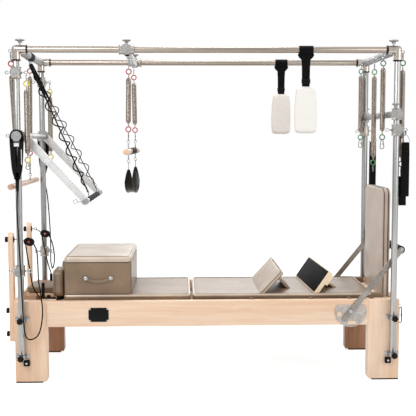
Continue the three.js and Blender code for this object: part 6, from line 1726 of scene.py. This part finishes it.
class MakeMat(bpy.types.Operator):
    """Makes the mat on its board, notched at the foot end, with the tabs that rest on the rails"""

    bl_idname = "trapeze_table.mat"
    bl_label = "Mat"

    def execute(self, context):
        crown = context.scene.table_sizes.pad_crown * 1000
        piece = Piece("mat_cover", "taupe_leather")
        upholstered(piece, (-94, -322, 486.4), (1030, 322, 526 - crown), 20, 16, crown, 1.2, cuts=(32, 14))
        for way in (-1, 1):
            side = sorted((way * 264, way * 321.6))
            upholstered(piece, (1002, side[0], 486.6), (1090, side[1], 525), 10, 8, 0.3, 0.4, cuts=(6, 5))
        MakeCarriage.edges(piece, (-94, 1030))
        piece.done("mat_converter", "taupe_cover", "mat_converter")
        # The board and its tabs take the dark maple: painted shade under the mat.
        board = Piece("mat_board", "painted_shade_maple")
        board.block((-87, 1030), (-315, 315), (470, 486.4), 1.5)
        for way in (-1, 1):
            board.block((1029, 1083), (way * 266, way * 315), (470, 486.4), 1.5)
            for x in (268, 633, 870, 1005):
                board.block((x - 14, x + 14), (way * 314, way * 368), (500.3, 506), 1.4)
        board.done("mat_converter", "maple_wood")
        return {"FINISHED"}


def side_piping(piece, start, end, half, corner, level, radius, place, steps):
    """Piping round a panel's top and sides, open at its foot."""
    line = [at(start, -half, level)]
    for way, turn in ((-1, 0.75), (1, 0)):
        centre = at(end - corner, way * (half - corner), level)
        line += arc(centre, X, Y, corner, turn, turn + 0.25, steps)
    piping(piece, line + [at(start, half, level)], radius, place, False)


def leaning(foot, angle):
    """The place of a panel that leans back from the mat: X up its face, Z out of it."""
    ahead = Vector((cos(angle), 0, sin(angle)))
    face = Vector((-sin(angle), 0, cos(angle)))
    return Matrix.Translation((foot, 0, MAT_TOP)) @ basis(ahead, Y, face)


def prop_outline(foot, angle, length, thick, share, end, wood, y):
    """The side of the strut that holds a leaning panel up."""
    ahead = Vector((cos(angle), 0, sin(angle)))
    behind = Vector((sin(angle), 0, -cos(angle)))
    joint = at(foot, y, MAT_TOP) + ahead * share * length + behind * (thick - 2)
    foot_end = at(end, y, MAT_TOP)
    way = (foot_end - joint).normalized()
    over = Vector((-way.z, 0, way.x))
    reach = wood / abs(way.z)
    return [joint, joint + over * wood, foot_end + X * reach, foot_end]


class MakeBoards(bpy.types.Operator):
    """Makes the wedge pad, the grip board and the jump board"""

    bl_idname = "trapeze_table.boards"
    bl_label = "Wedge, grip board and jump board"

    def execute(self, context):
        self.wedge()
        self.grip()
        self.jump()
        return {"FINISHED"}

    def wedge(self):
        foot, angle = 338.16, 0.82
        place = leaning(foot - 18, angle)
        piece = Piece("wedge_cover", "wedge_leather")
        upholstered(
            piece, (-14, -310, -29), (192, 310, -3), 14, 9, 7, 1.2, place=place, cuts=(10, 20), base=MAT_TOP
        )
        for level in (-6, -23):
            side_piping(piece, -level, 191.2, 309.2, 14, level, 1.9, place, 6)
        piece.done("wedge_pad", "taupe_cover", "wedge_pad")
        strut = Piece("wedge_strut", "wedge_leather")
        outline = prop_outline(foot - 18, angle, 192, 29, 0.72, 506, 20, -140)
        strut.board(outline, (0, 280, 0), 4, 3)
        strut.done("wedge_pad", "taupe_cover")

    def grip(self):
        foot, angle = 642, 0.96
        turn = Matrix.Translation((foot, 0, 0)) @ Matrix.Rotation(0.044, 4, "Z")
        turn = turn @ Matrix.Translation((-foot, 0, 0))
        place = turn @ leaning(foot, angle)
        piece = Piece("grip_panel", "pale_plywood")
        heel = 27 * cos(angle) / sin(angle)
        outline = [at(0, -318, 0), at(heel, -318, -27), at(168, -318, -27), at(168, -318, 0)]
        piece.board(outline, (0, 636, 0), 2.2, 3, place)
        piece.block((84, 158), (-318, 318), (-44, -26), 1.8, place)
        piece.use("sheet_rubber").block((8, 162), (-312, 312), (-1, 4), 1.6, place, 3)
        piece.use("pale_plywood")
        strut = prop_outline(foot, angle, 168, 27, 0.56, 806, 14, -120)
        piece.board(strut, (0, 240, 0), 1.8, 2, turn)
        piece.use("bright_chrome")
        for y in (-300, -100, 100, 300):
            centre = place @ at(121, y, -44)
            outward = (place.to_3x3() @ DOWN).normalized()
            piece.turned([(0, 1.6), (4, 1.4), (6, 0.3), (6, -1)], centre, outward, 20)
        piece.done("grip_board", "maple_wood", "grip_board")

    def jump(self):
        place = Matrix.Translation((1124, 0, 865)) @ basis(Z, Y, -X)
        piece = Piece("jump_cover", "cream_leather")
        upholstered(
            piece, (-432, -258, -7), (305, 258, 29), 50, 10, 3, 1.2, place=place, cuts=(28, 20), base=492
        )
        for level in (-3, 23):
            side_piping(piece, -372, 304.2, 257.2, 50, level, 3, place, 10)
        piece.done("jump_board", "taupe_cover", "jump_board")
        board = Piece("jump_backing", "rolled_leather")
        top = arc(at(1131, 208, 1120), Y, Z, 50, 0, 0.25, 10)
        top += arc(at(1131, -208, 1120), Y, Z, 50, 0.25, 0.5, 10)
        outline = [at(1131, 258, 490.3)] + top + [at(1131, -258, 490.3)]
        board.board(outline, (8, 0, 0), 2, 3)
        board.use("bright_chrome")
        for y in (-200, 200):
            for z in (620, 865, 1090):
                board.turned([(0, 1.8), (5, 1.6), (7.5, 0.3), (7.5, -1)], at(1139, y, z), X, 20)
        board.done("jump_board", "maple_wood")


class MakeFootbar(bpy.types.Operator):
    """Makes the footbar with its two flat arms, and the pierced plates that carry it"""

    bl_idname = "trapeze_table.footbar"
    bl_label = "Footbar"

    def execute(self, context):
        for side, way in SIDES:
            self.plate(side, way)
        self.bar()
        return {"FINISHED"}

    def plate(self, side, way):
        """A half disc with a flat top and two windows."""
        piece = Piece("pierced_plate_" + side, "blasted_plate")
        near = way * 400.3
        rise = asin(40 / 98)
        half = sqrt(98**2 - 40**2)
        outline = arc(at(PLATE_X, near, PLATE_Z), X, Z, 98, rise / tau / 2, -0.5 - rise / tau / 2, 48)
        outline += [at(PLATE_X - half + 8, near, 470), at(PLATE_X + half - 8, near, 470)]
        loops = [outline]
        for x, z in (((852, 906), (342, 370)), ((786.5, 817.5), (396.5, 429.5))):
            loops.append(rounded(x, z, 5, Y * near, Z, 5))
        piece.sheet(loops, Y * way * 4, 0.7)
        piece.use("bright_chrome").turned(
            [(0, 0), (7, 0), (7, 12), (11, 12), (12, 13), (12, 16), (10, 17.6), (0, 18)],
            at(PLATE_X, near, PLATE_Z), Y * way, 32,
        )
        for x, z in ((800, 455), (940, 455), (905, 410), (836, 380), (930, 385)):
            piece.turned([(0, 6.4), (4.5, 6.2), (6.6, 5), (6.6, 3.6)], at(x, way * 400, z), Y * way, 20)
        piece.done("table_frame", "grey_plate", "footbar_plate_" + side)

    def bar(self):
        pivot, axis = at(PLATE_X, 0, PLATE_Z), at(1172, 0, 805)
        direction = (axis - pivot).normalized()
        across = direction.cross(Y).normalized()
        tail = pivot - direction * 62
        piece = Piece("footbar_frame", "brushed_flat")
        for way in (-1, 1):
            near = way * 405.3
            piece.use("brushed_flat")
            outline = arc(axis, across, direction, 17, 0.5, 0, 14)
            outline += arc(tail, across, -direction, 17, 0, 0.5, 14)
            hole = arc(pivot, X, Z, 8.2, 0, 1, 28)[:-1]
            loops = [[point + Y * near for point in loop] for loop in (outline, hole)]
            piece.sheet(loops, Y * way * 6, 0.9)
            tip = axis + Y * way * 397
            piece.use("moulded_nylon").turned(
                [(8, 0), (24.6, 0), (25.4, 1.4), (25.4, 6), (24, 7.6), (12, 7.6), (8, 7)], tip, Y * way, 40
            )
            bolt = [(0, 14), (6, 13.8), (8.5, 12.4), (9, 10), (9, 0), (0, 0)]
            piece.use("bright_chrome").turned(bolt, axis + Y * way * 401, Y * way, 32)
        piece.use("black_rubber")
        profile = [(0, -397), (23, -397), (24, -395.5)]
        for i in range(1, 40):
            y = -395.5 + 19.775 * i
            profile += [(24, y - 1.2), (23.4, y), (24, y + 1.2)]
        profile += [(24, 395.5), (23, 397), (0, 397)]
        piece.turned(profile, axis, Y, 40)
        piece.done("footbar", "grey_plate", "footbar")


def tone(name, description, code):
    """A colour that a user can change."""
    return FloatVectorProperty(
        name=name, description=description, subtype="COLOR", default=linear(code), min=0, max=1
    )


def length(name, description, default, low, high, precision=4):
    """A length in metres that a user can change."""
    return FloatProperty(
        name=name, description=description, default=default, min=low, max=high,
        subtype="DISTANCE", unit="LENGTH", precision=precision,
    )


class TableColours(bpy.types.PropertyGroup):
    """The colours that change from one table to another"""

    wood_light: tone("Light wood", "Palest tone of the maple", "#f0d7be")
    wood_dark: tone("Dark wood", "Tone of the maple's figure", "#e4bd9c")
    cover_light: tone("Light cover", "Paler tone of the upholstery", "#8b745c")
    cover_dark: tone("Dark cover", "Darker tone of the upholstery", "#745e48")


class TableSizes(bpy.types.PropertyGroup):
    """The sizes that change from one table to another"""

    spring_pitch: length("Spring pitch", "Distance between two turns of a spring", 0.0052, 0.003, 0.009)
    spring_wire: length("Spring wire", "Thickness of the springs' wire", 0.0048, 0.002, 0.007)
    rope_width: length("Rope width", "Thickness of the two ropes", 0.008, 0.006, 0.01)
    pad_crown: length("Pad crown", "How far the pads rise at their middle", 0.003, 0.0, 0.008)
    floor_reach: length("Floor reach", "Distance from the floor's middle to its edge", 12.0, 3.0, 40.0, 2)


MAKERS = (
    MakeStage, MakeCords, MakeTimber, MakeCanopy, MakeClamps, MakeSprings, MakePushBar, MakeRollDown,
    MakeTrapeze, MakeStraps, MakePulleys, MakeCarriage, MakeSittingBox, MakeMat, MakeBoards, MakeFootbar,
)


class TrapezeTablePanel(bpy.types.Panel):
    """Lists the table's colours, sizes and makers"""

    bl_idname = "VIEW3D_PT_trapeze_table"
    bl_label = "Trapeze table"
    bl_space_type = "VIEW_3D"
    bl_region_type = "UI"
    bl_category = "Trapeze table"

    def draw(self, context):
        layout = self.layout
        for group in (context.scene.table_colours, context.scene.table_sizes):
            box = layout.box()
            for name in group.__annotations__:
                box.prop(group, name)
        column = layout.column(align=True)
        for maker in MAKERS:
            column.operator(maker.bl_idname)


CLASSES = (TableColours, TableSizes, *MAKERS, TrapezeTablePanel)


def register():
    for kind in CLASSES:
        bpy.utils.register_class(kind)
    bpy.types.Scene.table_colours = PointerProperty(type=TableColours)
    bpy.types.Scene.table_sizes = PointerProperty(type=TableSizes)


def unregister():
    del bpy.types.Scene.table_sizes
    del bpy.types.Scene.table_colours
    for kind in reversed(CLASSES):
        bpy.utils.unregister_class(kind)


def main():
    register()
    make_finishes(bpy.context.scene.table_colours)
    for maker in MAKERS:
        group, name = maker.bl_idname.split(".")
        getattr(getattr(bpy.ops, group), name)()


if __name__ == "__main__":
    main()
